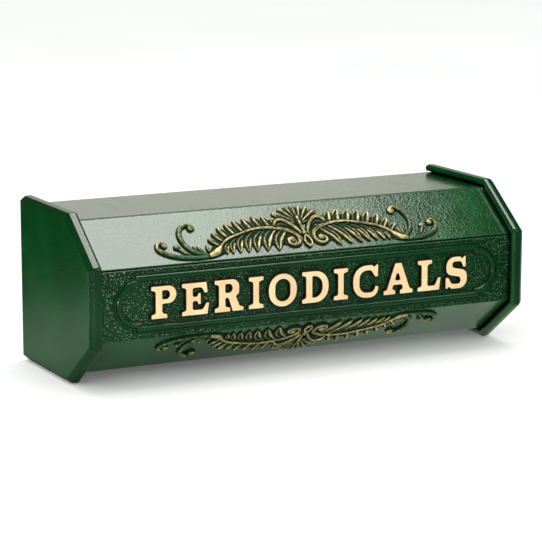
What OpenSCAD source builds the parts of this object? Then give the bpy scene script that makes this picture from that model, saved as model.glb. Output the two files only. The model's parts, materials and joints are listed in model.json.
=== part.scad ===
// Wall-hung cast newspaper box: a five-sided shell between two rimmed end plates, with a lift-up flap.
// Millimetres. The origin is the centre of the back face, on the wall.
// +X is right, -Y is the front, +Z is up.
// Outlines across the box are drawn as [distance from the wall, height].

/* [Body] */
// Length over both end plates
length = 430; // [380:5:520]
// Height of the end plates
height = 150; // [144:1:160]
// Depth of the end plates from the wall
depth = 160; // [154:1:170]
// Depth of each sloping face of the end plates
slope_depth = 54; // [52:1:58]
// Height of each sloping face of the end plates
slope_height = 40; // [38:1:42]
// Thickness of the cast walls
wall = 4; // [3.5:0.5:4.5]

/* [End plates] */
// Thickness of an end plate inside its rim
web = 6; // [6:0.5:7]
// Width of the rim along the length
rim_width = 12; // [12:0.5:14]
// Height of the rim over the shell
rim_height = 8; // [8:0.5:9]
// Thickness of the rim's rounded lip
lip = 7; // [6:0.5:7]

/* [Flap] */
// Radius of the rolled edge that the flap turns on
roll_r = 5; // [5:0.1:5.5]
// Diameter of the hinge pins
pin_d = 5; // [4:0.5:5]
// Gap between the flap and the front panel's top edge
seam = 0.7; // [0.5:0.1:1]
// Angle that the flap opens to
open_angle = 90; // [75:5:90]

/* [Lettering and relief] */
// Height of the capitals
cap_height = 29; // [26:0.5:31]
// Gap between two letters, in hundredths of the cap height
letter_gap = 15; // [10:1:16]
// Height that the letters stand proud of the front
letter_rise = 3; // [2:0.5:3.5]
// Height that the scrollwork stands proud of the slopes
relief_rise = 3.5; // [2:0.5:4]

/* [Wall fixing] */
// Distance between the wall holes along the length
wall_hole_dx = 320; // [260:10:330]
// Distance between the two rows of wall holes
wall_hole_dz = 40; // [30:2:44]
// Diameter of the wall holes
wall_hole_d = 6.5; // [5:0.5:7]

/* [Hidden] */
$fn = 48;

green = [0.03, 0.22, 0.09];
gold = [0.62, 0.52, 0.28];
cream = [0.96, 0.86, 0.62];
steel = [0.7, 0.7, 0.72];
nylon = [0.85, 0.85, 0.82];
rubber = [0.08, 0.08, 0.08];

// Faces of the end plates, along the length.
x_out = length / 2;
x_web = x_out - web;
x_rim = x_out - rim_width;

// The box's outline, moved in by an inset.
pitch = atan2(slope_height, slope_depth);
function corner_d(inset) = depth - slope_depth - inset * tan(pitch / 2);
function corner_z(inset) = height / 2 - slope_height - inset * tan(45 - pitch / 2);
function slope_z(d, inset) = height / 2 - (d - depth + slope_depth) * tan(pitch) - inset / cos(pitch);
function outline(inset) = [
  [0, height / 2 - inset], [corner_d(inset), height / 2 - inset], [depth - inset, corner_z(inset)],
  [depth - inset, -corner_z(inset)], [corner_d(inset), inset - height / 2], [0, inset - height / 2]
];

skin_out = rim_height;
skin_in = rim_height + wall;
top_out = height / 2 - skin_out;
top_in = height / 2 - skin_in;
front_out = depth - skin_out;
front_in = depth - skin_in;

// The flap's hinge axis lies one roll radius under the top and under the slope.
axis_inset = skin_out + roll_r;
axis_d = corner_d(axis_inset);
axis_z = height / 2 - axis_inset;
roll_gap = 0.3;
top_edge_back = 4;     // the top panel's edge stops this far behind the hinge axis
flap_end_gap = 1.2;    // between the flap's end and the rim's inner face
x_flap = x_rim - flap_end_gap;
pin_r = pin_d / 2;
pin_clearance = 0.05;
pin_in_plate = 10;
pin_in_flap = 16;
washer_t = 0.8;
stop_x = 10;           // how far the flap's heels and the stops reach in from the flap's ends
heel_r = 13;

// The ledge that the closed flap rests over.
bumper_t = 1.2;
rest_gap = 0.3;
ledge_inset = skin_in + bumper_t + rest_gap;
ledge_t = 3;
ledge_reach = 10;
bumper_r = 4;
bumper_stem_r = 1.5;
bumper_xs = [-150, 0, 150];

// Fixings.
screw_r = 2;
screw_hole_r = 2.2;
lug_t = 4;
lug_r = 7;
boss_r = 6;
x_lug = x_rim - lug_t;
head_r = 3.8;
head_h = 2.6;
end_washer_t = 0.8;
end_screw_l = 12;
top_lugs = [[20, top_in - 9], [72, top_in - 9]];
shell_lugs = [[20, 9 - top_in], [96, 9 - top_in], [front_in - 8, corner_z(skin_in) - 13]];
back_t = 4;
back_gap = 0.3;
flange_t = 4;
flange_h = 12;
back_screw_xs = [-150, 0, 150];
back_screw_z = top_in - flange_h / 2;
back_head_h = 2.3;
back_head_r = 4.2;
back_head_sink = 0.2;
countersink_gap = 0.05;
back_screw_l = 10;
pad_r = 9;
pad_t = 2;
wall_hole_z = 20;      // height of the middle of the wall holes over the origin
drain_r = 3;
drain_xs = [-140, -50, 50, 140];
drain_d = 60;

// Outlines and helpers.

// Extrudes an outline of [distance from the wall, height] between two places along the length.
module across(x0, x1) translate([x1, 0, 0]) rotate([90, 0, -90]) linear_extrude(x1 - x0) children();

// A cylinder along the length.
module rod(x0, x1, d, z, r) translate([x0, -d, z]) rotate([0, 90, 0]) cylinder(h = x1 - x0, r = r);

// Puts a relief that is drawn as [right, up, out] on a face that leans by an angle from the top.
module on_face(d, z, lean) translate([0, -d, z]) rotate([lean, 0, 0]) children();

module both_ends() {
  children();
  mirror([1, 0, 0]) children();
}

function arc(c, r, from, to, steps) =
  [for (i = [0:steps]) let (a = from + (to - from) * i / steps) c + r * [cos(a), sin(a)]];
function unit(v) = v / norm(v);

// Rounds one corner, p, of an outline that comes from a and goes on to b.
function fillet(a, p, b, r) =
  let (u = unit(a - p), v = unit(b - p), half = acos(u * v) / 2, turn = 180 - 2 * half,
       c = p + unit(u + v) * r / sin(half), s = p + u * r / tan(half) - c, e = p + v * r / tan(half) - c,
       steps = max(1, round(turn / 22)))
  [for (i = [0:steps]) let (k = i / steps) c + (sin((1 - k) * turn) * s + sin(k * turn) * e) / sin(turn)];

// Each corner is [x, y, radius].
function rounded(corners) =
  let (n = len(corners), at = function (i) [corners[(i + n) % n].x, corners[(i + n) % n].y])
  [for (i = [0:n - 1]) each fillet(at(i - 1), at(i), at(i + 1), corners[i].z)];

// A point of a cubic curve with four control points.
function bezier(p, t) =
  pow(1 - t, 3) * p[0] + 3 * t * pow(1 - t, 2) * p[1] + 3 * t * t * (1 - t) * p[2] + pow(t, 3) * p[3];
function bezier_side(p, t) =
  let (v = unit(bezier(p, t + 0.01) - bezier(p, t - 0.01))) [-v.y, v.x];

// Back, top and front castings.

module back_plate() color(green) difference() {
  union() {
    across(back_gap - x_web, x_web - back_gap)
      polygon([[0, back_gap - top_in], [0, top_in - back_gap],
               [back_t, top_in - back_gap], [back_t, back_gap - top_in]]);
    wall_hole_places() cylinder(h = back_t + pad_t, r = pad_r);
  }
  wall_hole_places() translate([0, 0, -1]) cylinder(h = back_t + pad_t + 2, r = wall_hole_d / 2);
  back_screw_places() {
    translate([0, 0, -1]) cylinder(h = back_t + 2, r = screw_hole_r);
    cylinder(h = back_head_h + back_head_sink, r1 = back_head_r + back_head_sink + countersink_gap,
             r2 = screw_r + countersink_gap);
  }
}

// A frame at each wall hole, with +Z into the box.
module wall_hole_places()
  for (sx = [-1, 1], sz = [-1, 1])
    translate([sx * wall_hole_dx / 2, 0, wall_hole_z + sz * wall_hole_dz / 2])
      rotate([90, 0, 0]) children();

// A frame at each screw that holds the back plate, with +Z into the box.
module back_screw_places()
  for (x = back_screw_xs, sz = [-1, 1])
    translate([x, 0, sz * back_screw_z]) rotate([90, 0, 0]) children();

// A lug that hangs from a wall towards dz, or from the front towards the wall, with its screw hole.
module lug(place, to) difference() {
  across(x_lug, x_rim) {
    translate(place) circle(r = lug_r);
    polygon([place + to[0], place + to[1], place + to[2], place + to[3]]);
  }
  rod(x_lug - 1, x_rim + 1, place[0], place[1], screw_hole_r);
}
function lug_foot(dir, reach) =
  let (side = [-dir.y, dir.x] * lug_r) [side, -side, dir * reach - side, dir * reach + side];

module top_panel() color(green) difference() {
  union() {
    across(-x_web, x_web) difference() {
      polygon([[0, top_out], [axis_d - top_edge_back, top_out], [axis_d - top_edge_back, top_in],
               [back_t + flange_t, top_in], [back_t + flange_t, top_in - flange_h],
               [back_t, top_in - flange_h], [back_t, top_in], [0, top_in]]);
      translate([axis_d, axis_z]) circle(r = roll_r + roll_gap);
    }
    both_ends() for (p = top_lugs) lug(p, lug_foot([0, 1], top_in - p.y + wall / 2));
  }
  back_screw_places() cylinder(h = back_t + flange_t + 1, r = screw_r);
}

module front_shell() color(green) difference() {
  union() {
    across(-x_web, x_web) {
      polygon([
        [front_out, corner_z(skin_out) - seam], outline(skin_out)[3], outline(skin_out)[4],
        [0, -top_out], [0, -top_in], [back_t, -top_in], [back_t, flange_h - top_in],
        [back_t + flange_t, flange_h - top_in], [back_t + flange_t, -top_in],
        outline(skin_in)[4], outline(skin_in)[3], [front_in, slope_z(front_in, ledge_inset + ledge_t)],
        [front_in - ledge_reach, slope_z(front_in - ledge_reach, ledge_inset + ledge_t)],
        [front_in - ledge_reach, slope_z(front_in - ledge_reach, ledge_inset)],
        [front_in, slope_z(front_in, ledge_inset)], [front_in, corner_z(skin_in) - seam]
      ]);
    }
    both_ends() {
      for (p = [shell_lugs[0], shell_lugs[1]]) lug(p, lug_foot([0, -1], p.y + top_in + wall / 2));
      lug(shell_lugs[2], lug_foot([1, 0], front_in - shell_lugs[2].x + wall / 2));
    }
  }
  back_screw_places() cylinder(h = back_t + flange_t + 1, r = screw_r);
  bumper_places() translate([0, 0, -ledge_t - 1]) cylinder(h = ledge_t + 2, r = bumper_stem_r);
  for (x = drain_xs)
    translate([x, -drain_d, -height / 2]) cylinder(h = rim_height + wall + 1, r = drain_r);
}

// A frame on the ledge's top face at each bumper, with +Z out of the slope.
module bumper_places() {
  d = front_in - ledge_reach / 2;
  for (x = bumper_xs)
    translate([x, -d, slope_z(d, ledge_inset)]) rotate([pitch, 0, 0]) children();
}

module flap_bumpers() color(rubber) bumper_places() {
  cylinder(h = bumper_t, r = bumper_r);
  translate([0, 0, -ledge_t]) cylinder(h = ledge_t, r = bumper_stem_r);
  translate([0, 0, -ledge_t - 1.5]) cylinder(h = 1.5, r1 = bumper_stem_r, r2 = bumper_stem_r + 0.6);
}

// End plates.

// The rim's section: [along the length, out of the outline].
rim_chamfer = 4;
crease_r = 1.2;
rim_section = concat(
  fillet([x_out, -lip], [x_out, -rim_chamfer], [x_out - rim_chamfer, 0], crease_r),
  fillet([x_out, -rim_chamfer], [x_out - rim_chamfer, 0], [x_rim, 0], crease_r),
  arc([x_rim + lip / 2, -lip / 2], lip / 2, 90, 270, 12),
  [[x_out, -lip]]
);
rim_leans = [0, pitch, 90, 180 - pitch, 180];

// One straight length of the rim, mitred to its neighbours.
module rim_length(i) intersection() {
  a = outline(0)[i];
  b = outline(0)[i + 1];
  translate([0, -a.x, a.y]) rotate([90 + rim_leans[i], 0, 0]) translate([0, 0, -lip])
    linear_extrude(norm(b - a) + 2 * lip) polygon(rim_section);
  across(x_rim - 1, x_out + 1) polygon([a, b, outline(lip)[i + 1], outline(lip)[i]]);
}

// The flap's section: a flat plate with a rolled edge round the hinge axis.
function flap_section() =
  let (c = [axis_d, axis_z], reach = skin_in - axis_inset, meet = 90 - pitch - acos(-reach / roll_r))
  concat(
    [outline(skin_out)[2], outline(skin_in)[2]],
    arc(c, roll_r, meet, 90 - pitch - 360, 30)
  );

// A block that stands off the hinge axis between two angles, used for the heels and their stops.
module heel_block(x0, x1, inner, from, to)
  across(x0, x1) polygon(concat(
    arc([axis_d, axis_z], heel_r, from, to, 3), arc([axis_d, axis_z], inner, to, from, 3)));

heel_from = 182;
heel_to = 202;
stop_gap = 2;
stop_to = 322;

plate_front_r = 5;     // radius of the outline's corners at the front
plate_back_r = 3;      // and at the wall
plate_outline = rounded([for (i = [0:5])
  [outline(0)[i].x, outline(0)[i].y, i == 0 || i == 5 ? plate_back_r : plate_front_r]]);

module end_plate_right() color(green) difference() {
  union() {
    across(x_web, x_out) polygon(outline(lip - 0.5));
    intersection() {
      for (i = [0:4]) rim_length(i);
      across(x_rim - 1, x_out + 1) polygon(plate_outline);
    }
    // the end of the sloping face, which fills the space between the flap and the plate
    across(x_rim + 0.2, x_web + 1) polygon(flap_section());
    for (p = concat(top_lugs, shell_lugs)) rod(x_rim, x_web + 1, p.x, p.y, boss_r);
    heel_block(x_flap - stop_x, x_web + 1, roll_r + 1, heel_to + open_angle + stop_gap, stop_to);
  }
  rod(x_rim, x_rim + pin_in_plate, axis_d, axis_z, pin_r);
  for (p = concat(top_lugs, shell_lugs)) rod(x_rim - 1, x_rim + 9, p.x, p.y, screw_r);
}

module end_plate_left() mirror([1, 0, 0]) end_plate_right();

// Flap and its hinge.

rib_t = 3;
rib_xs = [-120, 0, 120];

long_rib_d = front_in - ledge_reach - 8;
rib_back_d = axis_d + roll_r;

module flap() color(green) difference() {
  union() {
    across(-x_flap, x_flap) polygon(flap_section());
    both_ends() heel_block(x_flap - stop_x, x_flap, roll_r - 1, heel_from, heel_to);
    flap_rib(-x_flap + 20, x_flap - 20, long_rib_d, rib_t);
    for (x = rib_xs) flap_rib(x - rib_t / 2, x + rib_t / 2, rib_back_d, long_rib_d - rib_back_d);
  }
  both_ends() rod(x_flap - pin_in_flap - 1, x_flap + 1, axis_d, axis_z, pin_r + pin_clearance);
}

// A rib under the flap, from a distance from the wall and over a width in depth.
module flap_rib(x0, x1, d, w)
  across(x0, x1) polygon([
    [d, slope_z(d, skin_in - 1)], [d + w, slope_z(d + w, skin_in - 1)],
    [d + w, slope_z(d + w, skin_in + rib_t)], [d, slope_z(d, skin_in + rib_t)]]);

module hinge_pin_right() color(steel)
  rod(x_flap - pin_in_flap, x_rim + pin_in_plate, axis_d, axis_z, pin_r);
module hinge_pin_left() mirror([1, 0, 0]) hinge_pin_right();

module hinge_washer_right() color(nylon) difference() {
  rod(x_flap + 0.2, x_flap + 0.2 + washer_t, axis_d, axis_z, roll_r - 0.5);
  rod(x_flap, x_rim, axis_d, axis_z, pin_r + pin_clearance);
}
module hinge_washer_left() mirror([1, 0, 0]) hinge_washer_right();

// Screws and washers.

module end_screws_right() color(steel)
  for (p = concat(top_lugs, shell_lugs)) {
    x = x_lug - end_washer_t;
    difference() {
      union() {
        rod(x - head_h, x, p.x, p.y, head_r);
        rod(x - 0.5, x + end_screw_l, p.x, p.y, screw_r);
      }
      translate([x - head_h, -p.x, p.y])
        for (a = [0, 90]) rotate([a, 0, 0]) cube([2.6, 0.9, 4.4], center = true);
    }
  }
module end_screws_left() mirror([1, 0, 0]) end_screws_right();

module end_washers_right() color(steel)
  for (p = concat(top_lugs, shell_lugs)) difference() {
    rod(x_lug - end_washer_t, x_lug, p.x, p.y, head_r + 0.9);
    rod(x_lug - end_washer_t - 1, x_lug + 1, p.x, p.y, screw_hole_r);
  }
module end_washers_left() mirror([1, 0, 0]) end_washers_right();

module back_screws() color(steel) back_screw_places() difference() {
  union() {
    translate([0, 0, back_head_sink]) cylinder(h = back_head_h, r1 = back_head_r, r2 = screw_r);
    translate([0, 0, back_head_sink]) cylinder(h = back_screw_l, r = screw_r);
  }
  for (a = [0, 90]) rotate([0, 0, a]) cube([0.9, 4.4, 3], center = true);
}

// The moulded border round the lettering: a long panel with a round, notched end.
panel_x = 167.5;
panel_y = 22;
panel_end_r = 18.5;
bead = 5;
bead_rise = 2.4;
step = 2;
step_rise = 1.2;

// One end of the border's outline, moved in by an inset.
function panel_end(inset) =
  let (r = panel_end_r - inset, a = acos(-inset / r))
  concat([[panel_x - inset, panel_y - inset]],
         arc([panel_x, 0], r, a, -a, 24),
         [[panel_x - inset, inset - panel_y]]);
function panel_outline(inset) = concat(panel_end(inset), [for (p = panel_end(inset)) -p]);

module front_moulding() color(green) on_face(front_out, 0, 90) {
  linear_extrude(bead_rise) difference() {
    polygon(panel_outline(-bead / 2));
    polygon(panel_outline(bead / 2));
  }
  linear_extrude(step_rise) difference() {
    polygon(panel_outline(-bead / 2 - step));
    polygon(panel_outline(-bead / 2));
  }
}

// Slab-serif capitals, 100 high. Each is [width, outline, hole], and a corner is [x, y, radius].
foot = [[14, 18, 6], [0, 14, 3], [0, 0, 2], [54, 0, 2], [54, 14, 3], [38, 18, 6]];
head_left = [[0, 100, 2], [0, 86, 3], [14, 82, 6]];
letter_p = [84, concat(foot, [[38, 44, 4], [84, 44, 27], [84, 100, 27]], head_left),
  [[38, 84, 3], [60, 84, 11], [60, 60, 11], [38, 60, 3]]];
letter_e = [92, concat([[14, 18, 6], [0, 14, 3], [0, 0, 2], [86, 0, 2], [92, 37, 3], [80, 37, 3],
  [69, 18, 8], [38, 18, 4], [38, 42, 4], [50, 42, 4], [54, 32, 2], [64, 32, 2], [64, 68, 2],
  [54, 68, 2], [50, 58, 4],
  [38, 58, 4], [38, 82, 4], [65, 82, 8], [75, 65, 3], [87, 65, 3], [83, 100, 2]], head_left), []];
letter_r = [98, concat(foot, [[38, 42, 3], [46, 42, 5], [60, 0, 3], [98, 0, 2], [98, 14, 3], [85, 17, 5],
  [73, 46, 4], [84, 54, 12], [84, 100, 24]], head_left),
  [[38, 84, 3], [59, 84, 11], [59, 60, 11], [38, 60, 3]]];
letter_i = [52, [[15, 18, 6], [0, 14, 3], [0, 0, 2], [52, 0, 2], [52, 14, 3], [37, 18, 6], [37, 82, 6],
  [52, 86, 3], [52, 100, 2], [0, 100, 2], [0, 86, 3], [15, 82, 6]], []];
letter_o = [98, [[0, -2, 48], [98, -2, 48], [98, 102, 48], [0, 102, 48]],
  [[25, 17, 23], [73, 17, 23], [73, 83, 23], [25, 83, 23]]];
letter_d = [94, concat([[14, 18, 6], [0, 14, 3], [0, 0, 2], [94, 0, 46], [94, 100, 46]], head_left),
  [[38, 82, 3], [70, 82, 28], [70, 18, 28], [38, 18, 3]]];
letter_c = [92, [[92, 32, 3], [79, 37, 3], [72, 17, 15], [25, 17, 23], [25, 83, 23], [64, 83, 11],
  [77, 62, 3], [90, 62, 3], [90, 102, 2], [81, 102, 2], [76, 95, 3], [68, 102, 12],
  [0, 102, 46], [0, -2, 46],
  [88, -2, 30]], []];
letter_a = [106, [[12, 18, 6], [0, 14, 3], [0, 0, 2], [44, 0, 2], [44, 14, 3], [33, 18, 4], [37, 29, 2],
  [65, 29, 2], [69, 18, 4], [58, 14, 3], [58, 0, 2], [106, 0, 2], [106, 14, 3], [95, 18, 6],
  [65, 100, 3], [41, 100, 3]],
  [[43, 46, 2], [60, 46, 2], [51, 72, 3]]];
letter_l = [86, concat([[14, 18, 6], [0, 14, 3], [0, 0, 2], [80, 0, 2], [86, 42, 3], [74, 42, 3],
  [62, 18, 8], [38, 18, 4], [38, 82, 6], [54, 86, 3], [54, 100, 2]], head_left), []];
letter_s = [80, [[0, 0, 2], [9, 0, 2], [13, 6, 3], [22, -2, 10], [80, -2, 30], [80, 57, 24], [27, 68, 9],
  [27, 84, 8], [56, 84, 11], [64, 65, 3], [75, 65, 3], [75, 102, 2], [66, 102, 2], [62, 94, 3],
  [54, 102, 10], [2, 102, 30], [2, 45, 22], [54, 34, 9], [54, 16, 8], [24, 16, 13],
  [12, 37, 3], [0, 37, 3]], []];
word = [
  letter_p, letter_e, letter_r, letter_i, letter_o, letter_d, letter_i, letter_c, letter_a, letter_l,
  letter_s
];
function advance(i) = i == 0 ? 0 : advance(i - 1) + word[i - 1][0] + letter_gap;
word_width = advance(len(word) - 1) + word[len(word) - 1][0];

module raised_letters() color(cream) on_face(front_out, 0, 90) {
  k = cap_height / 100;
  for (i = [0:len(word) - 1])
    translate([(advance(i) - word_width / 2) * k, -cap_height / 2, 0])
      linear_extrude(letter_rise) difference() {
        polygon([for (p = rounded(word[i][1])) p * k]);
        if (len(word[i][2]) > 0) polygon([for (p = rounded(word[i][2])) p * k]);
      }
}

// Scrollwork: a fan shell between two fern plumes that end in scrolls. Drawn about the face's centre.

// A curved stroke that tapers from one width to another.
module stroke(p, w0, w1) {
  steps = 14;
  side = function (i, s) let (t = i / steps)
    bezier(p, t) + s * bezier_side(p, t) * (w0 + (w1 - w0) * t) / 2;
  polygon(concat([for (i = [0:steps]) side(i, 1)], [for (i = [steps:-1:0]) side(i, -1)]));
}

// One leaf from its base, along an angle. A fullness of 1 is widest near the tip, and 0 comes to a point.
module leaf(base, angle, reach, width, fullness) {
  steps = 8;
  half = function (t) width / 2 * pow(sin(180 * (0.12 + (0.86 - 0.22 * fullness) * t)), 0.75);
  translate(base) rotate(angle) polygon(concat(
    [for (i = [0:steps]) [reach * i / steps, half(i / steps)]],
    [for (i = [steps:-1:0]) [reach * i / steps, -half(i / steps)]]));
}

stem = [[91, -22.5], [76, -4], [44, 7], [17.5, -1.8]];
leaflets = 10;
lower_lobes = 7;
low_root = 88;         // where the low scroll starts to be drawn out
right_spread = [-3.5, 1];
left_spread = [5.5, 1.22];

// One half of the pattern. The tall scroll moves out by a shift, and the low scroll is drawn out by a
// stretch.
module plume(shift, stretch) {
  stroke(stem, 5, 5);
  for (i = [0:leaflets - 1]) let (u = i / (leaflets - 1))
    leaf(bezier(stem, 0.93 - 0.84 * u), 72 - 31 * u, 14.5 - 4 * u, 7.2 - 1.8 * u, 1);
  for (i = [0:lower_lobes - 1]) let (u = i / (lower_lobes - 1))
    leaf(bezier(stem, 0.88 - 0.66 * u), -68 + 11 * u, 23.6 - 9 * u, 9.4 - 3.2 * u, 0);
  leaf([97, -24.6], 144, 18, 8, 0);
  stroke([[17.5, -1.8], [4, -6], [2, -22], [15, -22]], 5, 4);
  stroke([[15, -22], [21, -22], [21, -14], [15, -14.8]], 4, 3);
  translate([14.6, -14.8]) circle(r = 3.6);
  stroke([[90, -24.2], [114 + shift, -22], [120 + shift, 8], [103 + shift, 13]], 3.4, 5);
  translate([98.8 + shift, 9.2]) circle(r = 3.9);
  drawn = function (x, y) [low_root + (x - low_root) * stretch, y];
  stroke([drawn(88, -24), drawn(112, -28), drawn(140, -22), drawn(131, -7)], 3.4, 5);
  translate(drawn(127.4, -8.6)) circle(r = 3.5);
  stroke([drawn(109, -23.4), drawn(112, -21), drawn(115, -18), drawn(117, -14)], 3, 4.4);
  translate(drawn(118.2, -11.8)) circle(r = 3.4);
  for (i = [0:2]) leaf([92.5 + 4.2 * i, -22.5 + i], 78 - 4 * i, 10, 3.8, 1);
}

fan_r = 23.4;
fan_y = 3.5;
rib_turn = 16.4;       // between two ribs of the fan

module scrollwork() linear_extrude(relief_rise) {
  polygon([for (a = [-6:3:186])
    [0, fan_y] + fan_r * (0.92 + 0.08 * abs(cos((a - 90) * 180 / rib_turn))) * [cos(a), sin(a)]]);
  plume(right_spread[0], right_spread[1]);
  mirror([1, 0]) plume(left_spread[0], left_spread[1]);
  both_ends() {
    stroke([[25.5, 4.6], [20, 15], [8, 6], [3.4, -7.4]], 4, 4);
    polygon([[0, -11], [3.2, -16], [3.6, -19], [2.2, -22.6], [0, -24.4]]);
  }
  polygon([[-3.6, 8], [-1.2, -11.4], [1.2, -11.4], [3.6, 8]]);
  translate([0, -8.4]) circle(r = 2.8);
}

face_middle_d = (corner_d(skin_out) + front_out) / 2;
face_middle_z = (top_out + corner_z(skin_out)) / 2;

module flap_scrollwork() color(gold) on_face(face_middle_d, face_middle_z, pitch) scrollwork();
module lower_scrollwork() color(gold)
  on_face(face_middle_d, -face_middle_z, 180 - pitch) mirror([0, 1, 0]) scrollwork();

back_plate();
top_panel();
front_shell();
front_moulding();
raised_letters();
lower_scrollwork();
end_plate_left();
end_plate_right();
flap();
flap_scrollwork();
flap_bumpers();
hinge_pin_left();
hinge_pin_right();
hinge_washer_left();
hinge_washer_right();
end_screws_left();
end_screws_right();
end_washers_left();
end_washers_right();
back_screws();
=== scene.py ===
import json
from math import acos, asin, atan2, cos, degrees, pi, radians, sin, sqrt, tan

import bmesh
import bpy
import numpy as np
from mathutils import Matrix, Vector

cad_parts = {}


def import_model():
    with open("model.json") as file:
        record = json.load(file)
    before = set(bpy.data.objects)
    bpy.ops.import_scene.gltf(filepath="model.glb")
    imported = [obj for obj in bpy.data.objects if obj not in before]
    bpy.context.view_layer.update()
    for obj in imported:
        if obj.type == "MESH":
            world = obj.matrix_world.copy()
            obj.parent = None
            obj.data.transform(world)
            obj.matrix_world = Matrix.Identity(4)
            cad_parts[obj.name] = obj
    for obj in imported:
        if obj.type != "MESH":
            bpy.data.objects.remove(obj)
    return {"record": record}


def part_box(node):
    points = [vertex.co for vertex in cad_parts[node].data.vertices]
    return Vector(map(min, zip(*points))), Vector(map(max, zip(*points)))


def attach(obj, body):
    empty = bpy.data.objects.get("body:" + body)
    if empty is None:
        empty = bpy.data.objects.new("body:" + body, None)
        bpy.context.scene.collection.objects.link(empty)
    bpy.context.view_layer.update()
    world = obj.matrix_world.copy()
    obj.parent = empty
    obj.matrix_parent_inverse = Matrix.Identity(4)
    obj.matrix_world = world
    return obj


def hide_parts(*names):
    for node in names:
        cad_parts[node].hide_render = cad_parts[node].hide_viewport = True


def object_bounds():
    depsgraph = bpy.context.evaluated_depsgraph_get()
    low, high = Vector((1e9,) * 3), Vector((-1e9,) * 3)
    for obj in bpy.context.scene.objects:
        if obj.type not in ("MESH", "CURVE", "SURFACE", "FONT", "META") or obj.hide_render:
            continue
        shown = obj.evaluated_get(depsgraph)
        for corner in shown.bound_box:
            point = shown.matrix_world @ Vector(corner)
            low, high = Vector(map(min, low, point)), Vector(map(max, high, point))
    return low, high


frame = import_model()
cad_lo, cad_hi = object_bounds()

MM = 0.001


# ---------------------------------------------------------------- sizes, in millimetres, read from the frame
def box_mm(node):
    lo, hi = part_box(node)
    return [c / MM for c in lo], [c / MM for c in hi]


plate_lo, plate_hi = box_mm("end_plate_right")
shell_lo, shell_hi = box_mm("front_shell")
joint = next(j for j in frame["record"]["behaviour"]["joints"] if j["name"] == "flap_hinge")

X_OUT = plate_hi[0]                      # outer face of the right end plate
HALF_H = plate_hi[2]
DEPTH = -plate_lo[1]
X_WEB = shell_hi[0]                      # inner face of the end plate's web
X_FLAP = box_mm("flap")[1][0]
FRONT = -shell_lo[1]                     # front face's distance from the wall
WALL = 4.0
RIM_W = 12.0
X_RIM = X_OUT - RIM_W
LIP = 7.0
SLOPE_D, SLOPE_H = 54.0, 40.0            # depth and height of each sloping side of the end plate
SEAM = 0.7
AXIS_D = -joint["pos_m"][1] / MM
AXIS_Z = joint["pos_m"][2] / MM
ROLL_R = 5.0
PITCH = atan2(SLOPE_H, SLOPE_D)
SKIN_OUT = DEPTH - FRONT                 # from the box's outline to the skin's outside and inside
SKIN_IN = SKIN_OUT + WALL
TOP = HALF_H - SKIN_OUT
TOP_IN = HALF_H - SKIN_IN


def corner_d(i):
    return DEPTH - SLOPE_D - i * tan(PITCH / 2)


def corner_z(i):
    return HALF_H - SLOPE_H - i * tan(pi / 4 - PITCH / 2)


def slope_z(d, i):
    return HALF_H - (d - DEPTH + SLOPE_D) * tan(PITCH) - i / cos(PITCH)


def outline(i):
    """The outline moved in by i, as [distance from the wall, height], from the back's top to its bottom."""
    return [(0, HALF_H - i), (corner_d(i), HALF_H - i), (DEPTH - i, corner_z(i)),
            (DEPTH - i, -corner_z(i)), (corner_d(i), i - HALF_H), (0, i - HALF_H)]


# ---------------------------------------------------------------- mesh helpers
def linked(name, data):
    ob = bpy.data.objects.new(name, data)
    bpy.context.scene.collection.objects.link(ob)
    return ob


def mesh_mm(name, verts, faces):
    mesh = bpy.data.meshes.new(name)
    mesh.from_pydata([[c * MM for c in v] for v in verts], [], faces)
    return mesh


def declared(name, node, mesh, mats, body):
    """A piece that replaces one CAD node. Its first material is the one it starts in."""
    ob = linked(name, mesh)
    for m in mats:
        mesh.materials.append(m)
    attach(ob, body)
    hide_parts(node)
    return ob


def clean_normals(mesh):
    bm = bmesh.new()
    bm.from_mesh(mesh)
    bmesh.ops.remove_doubles(bm, verts=bm.verts, dist=1e-6)
    bmesh.ops.recalc_face_normals(bm, faces=bm.faces)
    bm.to_mesh(mesh)
    bm.free()


def sharp_by_angle(ob, angle=32):
    """Marks edges over an angle as sharp, so that flat faces stay flat and rounded ones stay smooth."""
    bm = bmesh.new()
    bm.from_mesh(ob.data)
    for e in bm.edges:
        e.smooth = not (len(e.link_faces) == 2 and e.calc_face_angle(0) > radians(angle))
    bm.to_mesh(ob.data)
    bm.free()


def even(ob):
    """Shades big flat faces flat, so that only the small rounded ones beside them turn the light."""
    m = ob.modifiers.new("even", "WEIGHTED_NORMAL")
    m.weight = 60
    m.keep_sharp = True


def bevelled(ob, width, angle=35):
    """A soft edge all round: a bevel with its normals kept true to the flat faces."""
    m = ob.modifiers.new("edge", "BEVEL")
    m.width = width * MM
    m.segments = 2
    m.limit_method = "ANGLE"
    m.angle_limit = radians(angle)
    m.harden_normals = True
    m.miter_outer = "MITER_ARC"
    even(ob)


def skin(rings, turned=True):
    """Faces between rings of vertex numbers, each joined to the next. A ring of one number is a point, and
    rings that aren't turned are open rows."""
    faces = []
    for a, b in zip(rings, rings[1:]):
        n = max(len(a), len(b))
        for k in range(n if turned else n - 1):
            j = (k + 1) % n
            face = (a[k % len(a)], a[j % len(a)], b[j % len(b)], b[k % len(b)])
            faces.append(tuple(dict.fromkeys(face)))
    return faces


def numbered(rows):
    """The vertex numbers of equally long rows of points that are listed one after another."""
    n = len(rows[0])
    return [list(range(k * n, k * n + n)) for k in range(len(rows))]


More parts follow.
